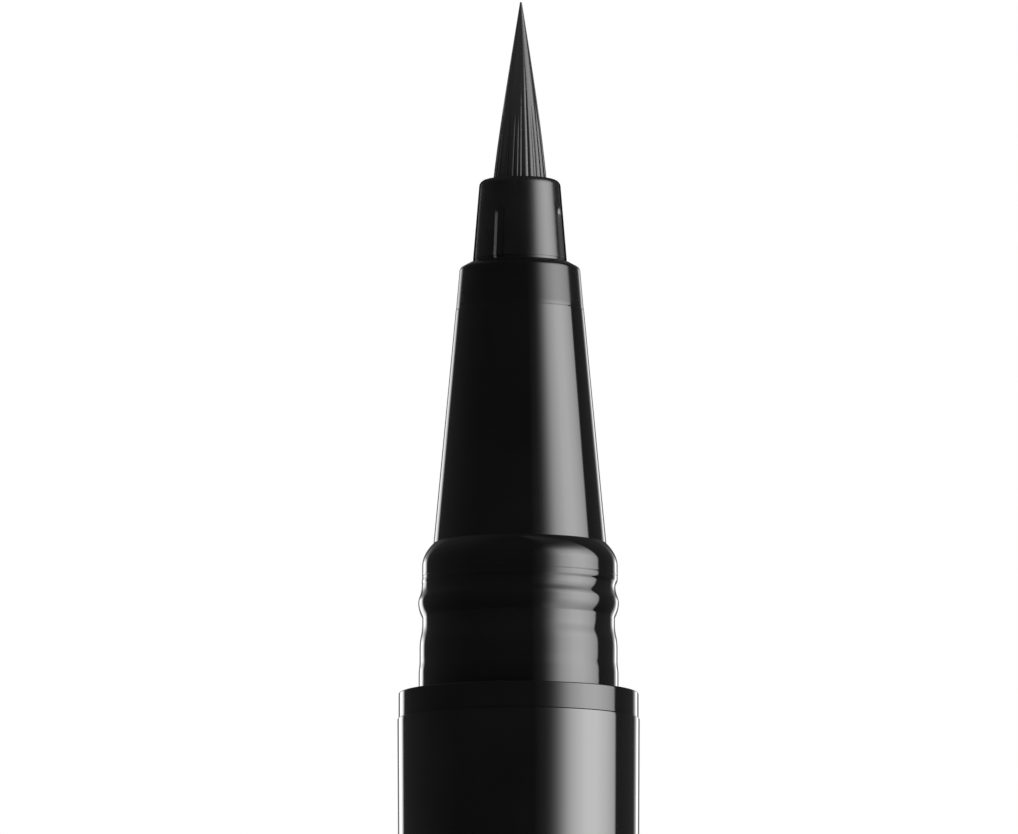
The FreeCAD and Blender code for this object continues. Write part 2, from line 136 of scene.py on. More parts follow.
RIM_RADIUS = 2.193 * MM
RIM_EDGE = 0.1 * MM
MOUTH_BORE_RADIUS = 2.03 * MM
MOUTH_BORE_LENGTH = 4.0 * MM
MOUTH_CHAMFER = 0.06 * MM
SOCKET_RADIUS = 3.6 * MM
COLLECTOR_BORE_RADIUS = 3.1 * MM
SHANK_LEAD = 0.2 * MM

# Nozzle
NOZZLE_TOP_RADIUS = 1.75 * MM
NOZZLE_BASE_RADIUS = 2.04 * MM
NOZZLE_SHANK_RADIUS = 2.01 * MM
NOZZLE_STEP_Z = RIM_Z + 0.14 * MM
NOZZLE_EDGE = 0.28 * MM
FLANGE_BORE_RADIUS = 1.5 * MM
VENT_COUNT = 4
VENT_TURN = math.radians(62.5)
VENT_FLOOR_POINTS = 9
VENT_LAND_POINTS = 48
VENT_FLOOR_SHARE = 0.675
VENT_TOP_Z = NOZZLE_TOP_Z - 1.08 * MM
VENT_RUN_OUT = 0.45 * MM

# Brush
BRUSH_RADIUS = 1.17 * MM
BRUSH_BORE_RADIUS = BRUSH_RADIUS + PRESS_GAP
BRUSH_POINT_RADIUS = 0.04 * MM
BRUSH_FLANGE_RADIUS = BRUSH_HIGH.x
BRUSH_FLANGE_THICKNESS = 0.6 * MM
BRUSH_SEAT_Z = BRUSH_LOW.z + BRUSH_FLANGE_THICKNESS
BULGE_LENGTH_SHARE = 0.306
BULGE_RADIUS_SHARE = 0.781
HANDLE_SHARE = 0.78
WICK_HOLLOW_RADIUS = 0.78 * MM
WICK_HOLLOW_DEPTH = 1.63 * MM
TUFT_ROWS = 136
CLUMP_COLUMNS = 16
CLUMP_POWER = 2.1
FADE_START_SHARE = 0.45
BRUSH_SEED = 11
# What the draws for the sides and the back start from, and how far they spread it
LEAST_CLUMP_WIDTH = 0.55
LEAST_BACK_DEPTH = 0.5
BACK_DEPTH_SPREAD = 0.8
LEAST_BACK_END = 0.4
BACK_END_SPREAD = 0.25
# Clefts that face the front: degrees from it, positive to the right, then shares of the depth at
# the root and of the tuft's length where the cleft has faded out
FRONT_CLEFTS = (
    (-62.0, 1.0, 0.5),
    (-50.0, 1.0, 0.45),
    (-31.5, 2.1, 0.5),
    (-15.0, 1.5, 0.54),
    (-4.7, 0.7, 0.5),
    (3.0, 0.5, 0.66),
    (19.0, 0.9, 0.76),
    (30.5, 0.3, 0.5),
    (39.5, 0.8, 0.58),
    (57.0, 0.9, 0.54),
    (78.0, 0.5, 0.45),
)

# Tail plug
PLUG_RADIUS = 3.83 * MM
PLUG_RECESS_RADIUS = 3.3 * MM
PLUG_FLOOR = 1.2 * MM

# Cap, inner cap and spring
CAP_TAPER = 0.4 * MM
CAP_END_WALL = 1.2 * MM
CAP_END_EDGE = 0.6 * MM
CAP_LEAD = 0.1 * MM
CAP_BORE_RADIUS = 4.5 * MM
CAP_MOUTH_END_Z = CAP_HIGH.z - 7.5 * MM
CAP_WELL_RADIUS = 4.05 * MM
SNAP_RING_RADIUS = 4.41 * MM
SNAP_RING_Z = CAP_HIGH.z - 3.0 * MM
SNAP_RING_HALF = 0.45 * MM
RIDGE_RADIUS = 3.75 * MM
RIDGE_Z = 8.55 * MM
RIDGE_LENGTH = 0.65 * MM
INNER_CAP_RADIUS = 3.65 * MM
INNER_CAP_BORE_RADIUS = 3.1 * MM
INNER_FLANGE_THICKNESS = 0.9 * MM
INNER_CAP_FLOOR = 0.8 * MM
INNER_CAP_EDGE = 0.15 * MM
SPRING_TURNS = 5
SPRING_WIRE_RADIUS = 0.175 * MM
SPRING_ROWS_IN_TURN = 64
SPRING_COLUMNS = 18

# Sampling of the outlines
RUN_STEP = 0.12 * MM
LEAST_RUN_STEPS = 3
MOST_RUN_STEPS = 40
ARC_STEPS = 7
SWELL_STEPS = 18
SHARP_ANGLE = math.radians(38.0)
SAME_POINT = 1e-9

# Finishes: scales count features in a metre, and on the brush those round it and along it
HAZE_SCALE = 1400.0
GLOSS_TINT_SCALE = 260.0
WAVE_SCALE = 420.0
WAVE_DEPTH = 0.0015 * MM
FULL_GLOSS = 0.5
NOSE_GLOSS = 0.36
SATIN_GRAIN_SCALE = 24000.0
SATIN_GRAIN_DEPTH = 0.0016 * MM
SATIN_TINT_SCALE = 900.0
BRUSH_FIBRE_SCALES = (130.0, 1.6, 1.0)
BRUSH_FIBRE_DEPTH = 0.004 * MM
INK_THINNING = 0.5
CLOUD_SCALE = 350.0
NATURAL_GRAIN_SCALE = 9000.0
NATURAL_GRAIN_DEPTH = 0.002 * MM
NATURAL_GLOW_REACH = (0.6 * MM, 0.6 * MM, 0.5 * MM)
WICK_FIBRE_SCALES = (14000.0, 14000.0, 300.0)
WICK_FIBRE_DEPTH = 0.02 * MM
SPRING_MARK_SCALE = 5200.0
BALL_MARK_SCALE = 2600.0
STEEL_MARK_DEPTH = 0.001 * MM
LACQUER_IOR = 1.58
MOULDING_IOR = 1.47
SATIN_IOR = 1.5
INK_IOR = 1.37
NATURAL_IOR = 1.49
# Level of gloss seen square on, then how nearly edge-on it starts to fall and is gone
NOZZLE_RIM = (0.43, 0.5, 0.73)
BRUSH_RIM = (0.5, 0.75, 0.99)

# Floor, lamp and camera
FLOOR_COLUMNS = 96
FLOOR_ROWS = 20
FLOOR_HUB_SHARE = 0.05
FLOOR_FADE_SHARE = 0.45
FLOOR_TINT_SCALE = 60.0
FLOOR_Z = -0.01 * MM
KEY_SPREAD = math.radians(35.0)
KEY_TURN = (math.radians(32.0), math.radians(14.0), math.radians(25.0))
SENSOR_WIDTH = 36.0
CLIP_START = 0.01
CLIP_END = 20.0

# Studio seen in the gloss. Round it: azimuth in degrees from the camera, positive to its right,
# and share of a light's level. Up it: elevation in degrees, and share again.
STRIP_RING = (
    (15.0, 0.0), (26.0, 0.02), (31.0, 0.055), (36.0, 0.145), (41.0, 0.3), (46.0, 0.51),
    (51.0, 0.7), (56.5, 0.83), (67.5, 1.0), (79.0, 0.96), (92.5, 0.71), (104.5, 0.42), (106.5, 0.0),
)
STRIP_RISE = (
    (-45.0, 0.5), (-26.0, 0.69), (-10.0, 0.95), (7.0, 0.97), (16.0, 0.99), (25.0, 0.82),
    (33.0, 0.66), (38.0, 0.42), (44.0, 0.22), (50.0, 0.08), (60.0, 0.02),
)
RIM_RING = (
    (-162.0, 0.06), (-159.5, 1.0), (-149.0, 1.0), (-143.0, 0.0),
    (142.5, 0.0), (145.5, 0.1), (151.0, 0.5), (154.5, 1.0), (159.5, 1.0), (162.0, 0.06),
)
RIM_RISE = (
    (-20.0, 0.6), (-5.0, 1.0), (7.5, 1.0), (10.5, 0.55),
    (13.0, 0.22), (17.0, 0.1), (24.0, 0.02), (35.0, 0.0),
)
ROOM_RING = (
    (-160.0, 0.8), (-140.0, 0.75), (-110.0, 0.75), (-60.0, 0.25),
    (60.0, 0.25), (110.0, 1.0), (140.0, 1.0), (160.0, 0.8),
)
ROOM_RISE = ((-30.0, 0.4), (0.0, 1.0), (60.0, 1.0), (80.0, 0.5))


class PenSizes(bpy.types.PropertyGroup):
    """Sizes of the pen's fine details."""

    parting_shift: FloatProperty(
        name="Parting shift",
        description="How far the upper half of the mould stands to the right of the lower half",
        default=0.059 * MM,
        precision=6,
        unit="LENGTH",
    )
    line_depth: FloatProperty(
        name="Line depth",
        description="Depth of the fine line that the mould leaves round the neck",
        default=0.01 * MM,
        precision=6,
        unit="LENGTH",
    )
    line_width: FloatProperty(
        name="Line width",
        description="Width of the fine line round the neck",
        default=0.07 * MM,
        precision=6,
        unit="LENGTH",
    )
    vent_width: FloatProperty(
        name="Vent width",
        description="Width of the nozzle's air vents",
        default=0.48 * MM,
        precision=6,
        unit="LENGTH",
    )
    vent_depth: FloatProperty(
        name="Vent depth",
        description="Depth of the nozzle's air vents",
        default=0.1 * MM,
        precision=6,
        unit="LENGTH",
    )
    back_clumps: IntProperty(
        name="Back clumps",
        description="Number of clumps that the wet fibres gather into round the brush's sides and back",
        default=20,
        min=3,
    )
    cleft_depth: FloatProperty(
        name="Cleft depth",
        description="Mean depth of the clefts between the clumps at the brush's root",
        default=0.048 * MM,
        precision=6,
        unit="LENGTH",
    )
    brush_lean: FloatProperty(
        name="Brush lean",
        description="How far the brush's point leans to the right",
        default=0.045 * MM,
        precision=6,
        unit="LENGTH",
    )
    columns: IntProperty(
        name="Columns",
        description="Number of faces round a turned piece",
        default=192,
        min=24,
    )


class PenFinishes(bpy.types.PropertyGroup):
    """Colours and roughnesses of the pen's finishes."""

    gloss_colour: FloatVectorProperty(
        name="Gloss black",
        description="Colour of the polished mouldings",
        default=(0.0045, 0.0045, 0.0048),
        subtype="COLOR",
    )
    gloss_roughness: FloatProperty(
        name="Gloss roughness",
        description="Roughness of the polished mouldings",
        default=0.06,
        subtype="FACTOR",
    )
    nose_roughness: FloatProperty(
        name="Nose roughness",
        description="Roughness of the cone above its ring",
        default=0.15,
        subtype="FACTOR",
    )
    satin_colour: FloatVectorProperty(
        name="Satin black",
        description="Colour of the nozzle",
        default=(0.0075, 0.0075, 0.0075),
        subtype="COLOR",
    )
    satin_roughness: FloatProperty(
        name="Satin roughness",
        description="Roughness of the nozzle",
        default=0.22,
        subtype="FACTOR",
    )
    ink_colour: FloatVectorProperty(
        name="Inked fibre",
        description="Colour of the brush, wet with ink",
        default=(0.013, 0.013, 0.013),
        subtype="COLOR",
    )
    ink_roughness: FloatProperty(
        name="Inked fibre roughness",
        description="Roughness of the brush, wet with ink",
        default=0.18,
        subtype="FACTOR",
    )
    natural_colour: FloatVectorProperty(
        name="Natural plastic",
        description="Colour of the undyed mouldings inside the pen and the cap",
        default=(0.62, 0.61, 0.57),
        subtype="COLOR",
    )
    wick_colour: FloatVectorProperty(
        name="Wick fibre",
        description="Colour of the wick where it is dry",
        default=(0.55, 0.52, 0.46),
        subtype="COLOR",
    )
    steel_colour: FloatVectorProperty(
        name="Steel",
        description="Colour of the stirring ball and of the cap's spring",
        default=(0.56, 0.57, 0.58),
        subtype="COLOR",
    )


class PenStudio(bpy.types.PropertyGroup):
    """Camera, light and floor."""

    camera_distance: FloatProperty(
        name="Camera distance",
        description="Distance of the camera from the middle of its view",
        default=600.0 * MM,
        unit="LENGTH",
    )
    camera_elevation: FloatProperty(
        name="Camera elevation",
        description="Height of the camera as an angle above the middle of its view",
        default=math.radians(-7.2),
        subtype="ANGLE",
    )
    view_width: FloatProperty(
        name="View width",
        description="Width of what the camera sees at the pen",
        default=44.2 * MM,
        precision=5,
        unit="LENGTH",
    )
    view_centre: FloatVectorProperty(
        name="View centre",
        description="Middle of the camera's view",
        default=(-0.415 * MM, 0.0, 141.21 * MM),
        precision=6,
        subtype="TRANSLATION",
    )
    strip_level: FloatProperty(
        name="Strip level",
        description="Brightness of the softbox beside the pen, as the gloss shows it",
        default=9.7,
    )
    rim_level: FloatProperty(
        name="Rim level",
        description="Brightness of the two white cards behind the pen, as the gloss shows them",
        default=3.3,
    )
    room_level: FloatProperty(
        name="Room level",
        description="Brightness of the dark room round the pen, as the gloss shows it",
        default=0.1,
    )
    ambient_level: FloatProperty(
        name="Ambient level",
        description="Brightness of the soft light from all round",
        default=0.62,
    )
    key_level: FloatProperty(
        name="Key level",
        description="Strength of the large lamp above",
        default=1.2,
    )
    floor_colour: FloatVectorProperty(
        name="Floor",
        description="Colour of the floor",
        default=(0.86, 0.86, 0.86),
        subtype="COLOR",
    )
    floor_radius: FloatProperty(
        name="Floor radius",
        description="Where the floor has faded into the backdrop",
        default=300.0 * MM,
        unit="LENGTH",
    )


def unit(vector):
    return vector / np.linalg.norm(vector)


def smooth_step(low, high, value):
    """Rises from 0 at low to 1 at high, level at both ends."""
    share = np.clip((value - low) / (high - low), 0.0, 1.0)
    return share * share * (3.0 - 2.0 * share)


def between(height, low, low_radius, high, high_radius):
    """Radius at a height on the straight line between two points."""
    return low_radius + (high_radius - low_radius) * (height - low) / (high - low)


class Section:
    """Outline of a turned piece: points of radius and height, with the solid on their left."""

    def __init__(self, radius, height):
        self.points = np.array([[radius, height]])
        self.corner = None

    def add(self, run):
        self.points = np.vstack((self.points, run))

    def line(self, radius, height, rounding=0.0):
        """Runs straight to a point, where the corner is rounded off if it has a rounding."""
        target = np.array([radius, height])
        if self.corner is not None:
            self.round_off(target)
        if rounding:
            self.corner = (target, rounding)
        else:
            self.straight(target)

    def path(self, *points):
        """Runs straight from point to point; each is a radius, a height and maybe a rounding."""
        for point in points:
            self.line(*point)

    def straight(self, target):
        """Points spaced by a cosine, so that they crowd at the ends and keep the shading true."""
        start = self.points[-1]
        length = np.linalg.norm(target - start)
        steps = int(np.clip(length / RUN_STEP, LEAST_RUN_STEPS, MOST_RUN_STEPS))
        share = (1.0 - np.cos(np.pi * np.arange(1, steps + 1) / steps)) / 2.0
        self.add(start + share[:, None] * (target - start))

    def round_off(self, following):
        """An arc, tangent to the run before the corner and to the run after it."""
        corner, rounding = self.corner
        self.corner = None
        back = unit(self.points[-1] - corner)
        ahead = unit(following - corner)
        half = math.acos(np.clip(back @ ahead, -1.0, 1.0)) / 2.0
        reach = rounding / math.tan(half)
        self.straight(corner + back * reach)
        centre = corner + unit(back + ahead) * rounding / math.sin(half)
        spoke = self.points[-1] - centre
        way = np.sign(back[1] * ahead[0] - back[0] * ahead[1])
        angles = way * (math.pi - 2.0 * half) * np.arange(1, ARC_STEPS + 1) / ARC_STEPS
        across = spoke[0] * np.cos(angles) - spoke[1] * np.sin(angles)
        along = spoke[0] * np.sin(angles) + spoke[1] * np.cos(angles)
        self.add(centre + np.column_stack((across, along)))

    def swell(self, radius, height, leave=0.5, arrive=0.5, steps=SWELL_STEPS):
        """Runs to a point in an S that starts and ends parallel to the axis.

        The two handles of the S stand at shares of the height, and it is steepest between them.
        """
        start = self.points[-1]
        rise = height - start[1]
        first = (start[0], start[1] + rise * leave)
        second = (radius, start[1] + rise * arrive)
        self.bezier(first, second, (radius, height), steps)

    def fall_away(self, radius, height):
        """Runs to a point on a parabola that leaves parallel to the axis."""
        start = self.points[-1]
        share = np.arange(1, SWELL_STEPS + 1) / SWELL_STEPS
        across = start[0] + (radius - start[0]) * share * share
        along = start[1] + (height - start[1]) * share
        self.add(np.column_stack((across, along)))

    def bezier(self, first, second, end, steps):
        """Runs along a cubic curve with two handles to its end."""
        t = np.arange(1, steps + 1)[:, None] / steps
        start = self.points[-1]
        rest = 1.0 - t
        self.add(
            rest**3 * start
            + 3.0 * rest**2 * t * np.array(first)
            + 3.0 * rest * t**2 * np.array(second)
            + t**3 * np.array(end)
        )

    def closed(self):
        """The points of an outline that runs back to its start, which isn't repeated."""
        first = self.points[0]
        self.line(first[0], first[1])
        return self.points[:-1]


def mesh_from_grid(name, points, closed_rows=False, poles=(None, None), wrap_map=False):
    """Makes an object of a grid of points, with rows along the piece and columns round it.

    Each face joins two neighbours of a row to those of the next row, and the last column to the
    first. The rows close on themselves too, or each end closes in a fan round its pole.
    """
    rows, columns = points.shape[:2]
    index = np.arange(rows * columns).reshape(rows, columns)
    lower = index if closed_rows else index[:-1]
    upper = np.roll(index, -1, axis=0) if closed_rows else index[1:]
    quads = np.stack(
        (lower, np.roll(lower, -1, axis=1), np.roll(upper, -1, axis=1), upper), axis=-1
    ).reshape(-1, 4)
    vertices = [points.reshape(-1, 3)]
    fans = []
    for pole, ring, way in zip(poles, (index[0], index[-1]), (-1, 1)):
        if pole is not None:
            hub = np.full(columns, rows * columns + len(fans))
            fans.append(np.stack((ring, np.roll(ring, -1), hub), axis=-1)[:, ::way])
            vertices.append(np.array([pole]))
    triangles = np.concatenate(fans) if fans else np.zeros((0, 3), dtype=int)
    vertices = np.concatenate(vertices)
    corners = np.concatenate((quads.ravel(), triangles.ravel())).astype(np.int32)
    quad_starts = 4 * np.arange(len(quads))
    triangle_starts = 4 * len(quads) + 3 * np.arange(len(triangles))
    starts = np.concatenate((quad_starts, triangle_starts)).astype(np.int32)
    mesh = bpy.data.meshes.new(name)
    mesh.vertices.add(len(vertices))
    mesh.vertices.foreach_set("co", vertices.ravel().astype(np.float32))
    mesh.loops.add(len(corners))
    mesh.loops.foreach_set("vertex_index", corners)
    mesh.polygons.add(len(starts))
    mesh.polygons.foreach_set("loop_start", starts)
    mesh.update(calc_edges=True)
    if mesh.validate():
        raise RuntimeError(name + " has faces that don't close")
    mesh.shade_smooth()
    mesh.set_sharp_from_angle(angle=SHARP_ANGLE)
    if wrap_map:
        lay_wrap_map(mesh, lower.shape[0], columns, len(triangles))
    thing = bpy.data.objects.new(name, mesh)
    bpy.context.scene.collection.objects.link(thing)
    return thing


def lay_wrap_map(mesh, rows, columns, triangle_count):
    """UV map of a grid: u is the share of the way round, and v the share of the rows passed."""
    column = np.arange(columns)[None, :] / columns
    row = np.arange(rows)[:, None] / rows
    step_u = 1.0 / columns
    step_v = 1.0 / rows
    corner_u = (0.0, step_u, step_u, 0.0)
    corner_v = (0.0, 0.0, step_v, step_v)
    u = np.stack([np.broadcast_to(column + add, (rows, columns)) for add in corner_u], axis=-1)
    v = np.stack([np.broadcast_to(row + add, (rows, columns)) for add in corner_v], axis=-1)
    quads = np.stack((u, v), axis=-1).reshape(-1, 2)
    ends = np.zeros((3 * triangle_count, 2))
    ends[:, 0] = np.repeat(np.arange(triangle_count) % columns, 3) * step_u
    ends[triangle_count * 3 // 2 :, 1] = 1.0
    layer = mesh.uv_layers.new(name="wrap")
    layer.uv.foreach_set("vector", np.concatenate((quads, ends)).ravel().astype(np.float32))


def round_grid(reach, angle, height, shift=0.0):
    """Points at a reach from an axis that is shifted along X, at an angle round it and a height."""
    x = reach * np.cos(angle) + shift
    y = reach * np.sin(angle)
    z = np.broadcast_to(height, x.shape)
    return np.stack((x, y, z), axis=-1)


def turned(name, outline, columns, drift=None, closed=False):
    """Turns an outline about Z: each of its points goes round a circle of its own radius.

    A closed outline runs back to its start, and one that begins and ends on the axis is closed by
    its two poles. Drift gives the sideways shift of the circle at each height.
    """
    step = np.linalg.norm(np.diff(outline, axis=0), axis=1)
    outline = outline[np.append(True, step > SAME_POINT)]
    shift = np.zeros(len(outline)) if drift is None else drift(outline[:, 1])
    angles = 2.0 * np.pi * np.arange(columns) / columns
    points = round_grid(outline[:, :1], angles, outline[:, 1:], shift[:, None])
    if closed:
        return mesh_from_grid(name, points, closed_rows=True)
    poles = ((shift[0], 0.0, outline[0, 1]), (shift[-1], 0.0, outline[-1, 1]))
    return mesh_from_grid(name, points[1:-1], poles=poles)


def dress(piece, body, node, finish):
    """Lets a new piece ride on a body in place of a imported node, in its finish."""
    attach(piece, body)
    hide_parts(node)
    piece.data.materials.append(finish)


# Outlines


def barrel_radius(height):
    tail_radius = MOUTH_RADIUS - BARREL_TAPER
    return between(height, TAIL_Z, tail_radius, MOUTH_Z, MOUTH_RADIUS)


def barrel_bore_radius(height):
    return barrel_radius(height) - BARREL_WALL


def snap_neck(section, seat, way, line_depth, line_width):
    """Carries an outline from the cap's seat along the neck; way is 1 up the pen, -1 down it."""
    relief = LAND_RADIUS - RELIEF_DEPTH
    waist = LAND_RADIUS - WAIST_DEPTH
    section.swell(LAND_RADIUS, seat + way * LAND_START)
    section.line(LAND_RADIUS, seat + way * LAND_END)
    section.swell(relief, seat + way * RELIEF_START)
    section.line(relief, seat + way * RELIEF_END)
    section.swell(waist, seat + way * WAIST_START)
    section.line(waist, seat + way * WAIST_END)
    section.swell(LAND_RADIUS + BEAD_HEIGHT, seat + way * BEAD_AT, *BEAD_HANDLES)
    section.swell(LAND_RADIUS - GROOVE_DEPTH, seat + way * GROOVE_AT, *GROOVE_HANDLES)
    section.swell(COLUMN_RADIUS, seat + way * COLUMN_START)
    section.line(COLUMN_RADIUS, seat + way * (NECK_LINE_AT - line_width / 2.0))
    section.swell(COLUMN_RADIUS - line_depth, seat + way * NECK_LINE_AT, steps=NECK_LINE_STEPS)
    section.swell(COLUMN_RADIUS, seat + way * (NECK_LINE_AT + line_width / 2.0), steps=NECK_LINE_STEPS)
    section.line(COLUMN_RADIUS, seat + way * COLUMN_END)
    section.fall_away(SHOULDER_RADIUS, seat + way * SHOULDER_END)


def front_barrel_outline(sizes):
    """Shank in the barrel, collar, neck and cone outside, then the collector's chamber inside."""
    collar = MOUTH_RADIUS - COLLAR_INSET
    shank_end_z = FRONT_LOW.z
    shank_end = barrel_bore_radius(shank_end_z) - PRESS_GAP
    shank = barrel_bore_radius(SEAM_Z) - PRESS_GAP
    ring = between(CONE_RING_Z, CONE_BASE_Z, SHOULDER_RADIUS, CONE_TOP_Z, CONE_TOP_RADIUS)
    section = Section(SOCKET_RADIUS, shank_end_z)
    section.path(
        (shank_end - SHANK_LEAD, shank_end_z),
        (shank_end, shank_end_z + SHANK_LEAD),
        (shank, SEAM_Z),
        (collar, SEAM_Z, BARREL_EDGE),
        (collar, COLLAR_TOP_Z, COLLAR_EDGE),
        (LAND_RADIUS - FOOT_DEPTH, SEAT_Z),
    )
    snap_neck(section, SEAT_Z, 1, sizes.line_depth, sizes.line_width)
    section.path(
        (ring, CONE_RING_Z, CONE_RING_STEP),
        (ring - CONE_RING_STEP, CONE_RING_Z + CONE_RING_LENGTH, CONE_RING_STEP),
        (CONE_TOP_RADIUS, CONE_TOP_Z, CONE_TOP_EDGE),
        (RIM_RADIUS, RIM_Z, RIM_EDGE),
        (MOUTH_BORE_RADIUS + MOUTH_CHAMFER, RIM_Z),
        (MOUTH_BORE_RADIUS, RIM_Z - MOUTH_CHAMFER),
        (MOUTH_BORE_RADIUS, RIM_Z - MOUTH_BORE_LENGTH),
        (SHOULDER_RADIUS - CONE_WALL, CONE_BASE_Z),
        (COLLECTOR_BORE_RADIUS, CHAMBER_END_Z),
        (COLLECTOR_BORE_RADIUS, TANK_RIM_Z),
        (SOCKET_RADIUS, TANK_RIM_Z),
    )
    return section.closed()


def barrel_outline():
    section = Section(barrel_bore_radius(TAIL_Z), TAIL_Z)
    section.path(
        (barrel_radius(TAIL_Z), TAIL_Z, BARREL_EDGE),
        (barrel_radius(SEAM_Z), SEAM_Z, BARREL_EDGE),
        (barrel_bore_radius(SEAM_Z), SEAM_Z),
    )
    return section.closed()


def nozzle_outline():
    """Shank, step, taper and rounded mouth outside, then the brush's bore and flange inside."""
    shank_end = NOZZLE_LOW.z
    lead = SHANK_LEAD - SMALL_EDGE
    section = Section(FLANGE_BORE_RADIUS, shank_end)
    section.path(
        (NOZZLE_SHANK_RADIUS - lead, shank_end),
        (NOZZLE_SHANK_RADIUS, shank_end + lead),
        (NOZZLE_SHANK_RADIUS, NOZZLE_STEP_Z),
        (NOZZLE_BASE_RADIUS, NOZZLE_STEP_Z),
        (NOZZLE_TOP_RADIUS, NOZZLE_TOP_Z, NOZZLE_EDGE),
        (BRUSH_BORE_RADIUS, NOZZLE_TOP_Z, SMALL_EDGE),
        (BRUSH_BORE_RADIUS, BRUSH_SEAT_Z),
        (FLANGE_BORE_RADIUS, BRUSH_SEAT_Z),
    )
    return section.closed()


def brush_outline():
    """Hollow for the wick's point, flange and shank, then the tuft that narrows to its point."""
    length = BRUSH_HIGH.z - NOZZLE_TOP_Z
    root = np.array((BRUSH_RADIUS, NOZZLE_TOP_Z))
    bulge = np.array((BRUSH_RADIUS * BULGE_RADIUS_SHARE, NOZZLE_TOP_Z + length * BULGE_LENGTH_SHARE))
    point = np.array((BRUSH_POINT_RADIUS, BRUSH_HIGH.z))
    root_handle = root + (bulge - root) * HANDLE_SHARE
    point_handle = point + (bulge - point) * HANDLE_SHARE
    section = Section(0.0, BRUSH_LOW.z + WICK_HOLLOW_DEPTH)
    section.path(
        (WICK_HOLLOW_RADIUS, BRUSH_LOW.z),
        (BRUSH_FLANGE_RADIUS, BRUSH_LOW.z),
        (BRUSH_FLANGE_RADIUS, BRUSH_SEAT_Z),
        (BRUSH_RADIUS, BRUSH_SEAT_Z),
        (BRUSH_RADIUS, NOZZLE_TOP_Z),
    )
    section.bezier(root_handle, point_handle, point, TUFT_ROWS)
    section.line(0.0, BRUSH_HIGH.z)
    return section.points


def tail_plug_outline(sizes):
    """Shank in the barrel and neck for the posted cap outside, then the recess inside."""
    floor_z = PLUG_HIGH.z - PLUG_FLOOR
    section = Section(0.0, PLUG_HIGH.z)
    section.path(
        (PLUG_RADIUS - SHANK_LEAD, PLUG_HIGH.z),
        (PLUG_RADIUS, PLUG_HIGH.z - SHANK_LEAD),
        (PLUG_RADIUS, TAIL_Z),
        (LAND_RADIUS - FOOT_DEPTH, TAIL_Z),
    )
    snap_neck(section, TAIL_Z, -1, sizes.line_depth, sizes.line_width)
    section.path(
        (PLUG_RECESS_RADIUS, PLUG_LOW.z, SMALL_EDGE),
        (PLUG_RECESS_RADIUS, floor_z, SMALL_EDGE),
        (0.0, floor_z),
    )
    return section.points[::-1]


def cap_outline():
    """Closed end and tapered outside, then the mouth, snap ring, well and ridge inside."""
    top = CAP_HIGH.z
    section = Section(0.0, CAP_LOW.z)
    section.path(
        (MOUTH_RADIUS - CAP_TAPER, CAP_LOW.z, CAP_END_EDGE),
        (MOUTH_RADIUS, top, BARREL_EDGE),
        (CAP_BORE_RADIUS + CAP_LEAD, top, SMALL_EDGE),
        (CAP_BORE_RADIUS, top - CAP_LEAD, SMALL_EDGE),
        (CAP_BORE_RADIUS, SNAP_RING_Z + SNAP_RING_HALF),
    )
    section.swell(SNAP_RING_RADIUS, SNAP_RING_Z)
    section.swell(CAP_BORE_RADIUS, SNAP_RING_Z - SNAP_RING_HALF)
    section.path(
        (CAP_BORE_RADIUS, CAP_MOUTH_END_Z, SMALL_EDGE),
        (CAP_WELL_RADIUS, CAP_MOUTH_END_Z, SMALL_EDGE),
        (CAP_WELL_RADIUS, RIDGE_Z + RIDGE_LENGTH),
        (RIDGE_RADIUS, RIDGE_Z + RIDGE_LENGTH, SMALL_EDGE),
        (RIDGE_RADIUS, RIDGE_Z, SMALL_EDGE),
        (CAP_WELL_RADIUS, RIDGE_Z),
        (CAP_WELL_RADIUS, CAP_END_WALL),
        (0.0, CAP_END_WALL),
    )
    return section.points


def inner_cap_outline():
    """Flange and wall outside, rounded lip, then the well for the pen's tip inside."""
    low = INNER_CAP_LOW.z
    top = INNER_CAP_HIGH.z
    flange = INNER_CAP_HIGH.x
    section = Section(0.0, low)
    section.path(
        (flange, low, SMALL_EDGE),
        (flange, low + INNER_FLANGE_THICKNESS, SMALL_EDGE),
        (INNER_CAP_RADIUS, low + INNER_FLANGE_THICKNESS, SMALL_EDGE),
        (INNER_CAP_RADIUS, top, INNER_CAP_EDGE),
        (INNER_CAP_BORE_RADIUS, top, INNER_CAP_EDGE),
        (INNER_CAP_BORE_RADIUS, low + INNER_CAP_FLOOR, INNER_CAP_EDGE),
        (0.0, low + INNER_CAP_FLOOR),
    )
    return section.points


# Finishes


def fill(tree, made, sockets):
    """Fills a node's sockets: each takes a number, a colour or the output that is linked to it."""
    for name, value in sockets.items():
        if isinstance(value, bpy.types.NodeSocket):
            tree.links.new(value, made.inputs[name])
        else:
            made.inputs[name].default_value = value


def add_node(tree, kind, sockets=None, **settings):
    made = tree.nodes.new(kind)
    for name, value in settings.items():
        setattr(made, name, value)
    fill(tree, made, sockets or {})
    return made


def reckon(tree, operation, *values):
    """The result of a sum on numbers or outputs."""
    sockets = dict(enumerate(values))
    return add_node(tree, "ShaderNodeMath", sockets, operation=operation).outputs["Value"]


def mixed(tree, share, first, second):
    """One shader, with a second one in its place by a share."""
    return add_node(tree, "ShaderNodeMixShader", {0: share, 1: first, 2: second}).outputs["Shader"]


def start_finish(name, sockets):
    """A new material and its shader, with what is the same all over set on the shader itself."""
    finish = bpy.data.materials.new(name)
    finish.use_nodes = True
    shader = finish.node_tree.nodes["Principled BSDF"]
    fill(finish.node_tree, shader, sockets)
    return finish, finish.node_tree, shader


def noise(tree, vector, scale, detail=3.0, roughness=0.5):
    sockets = {"Vector": vector, "Scale": scale, "Detail": detail, "Roughness": roughness}
    return add_node(tree, "ShaderNodeTexNoise", sockets).outputs["Fac"]


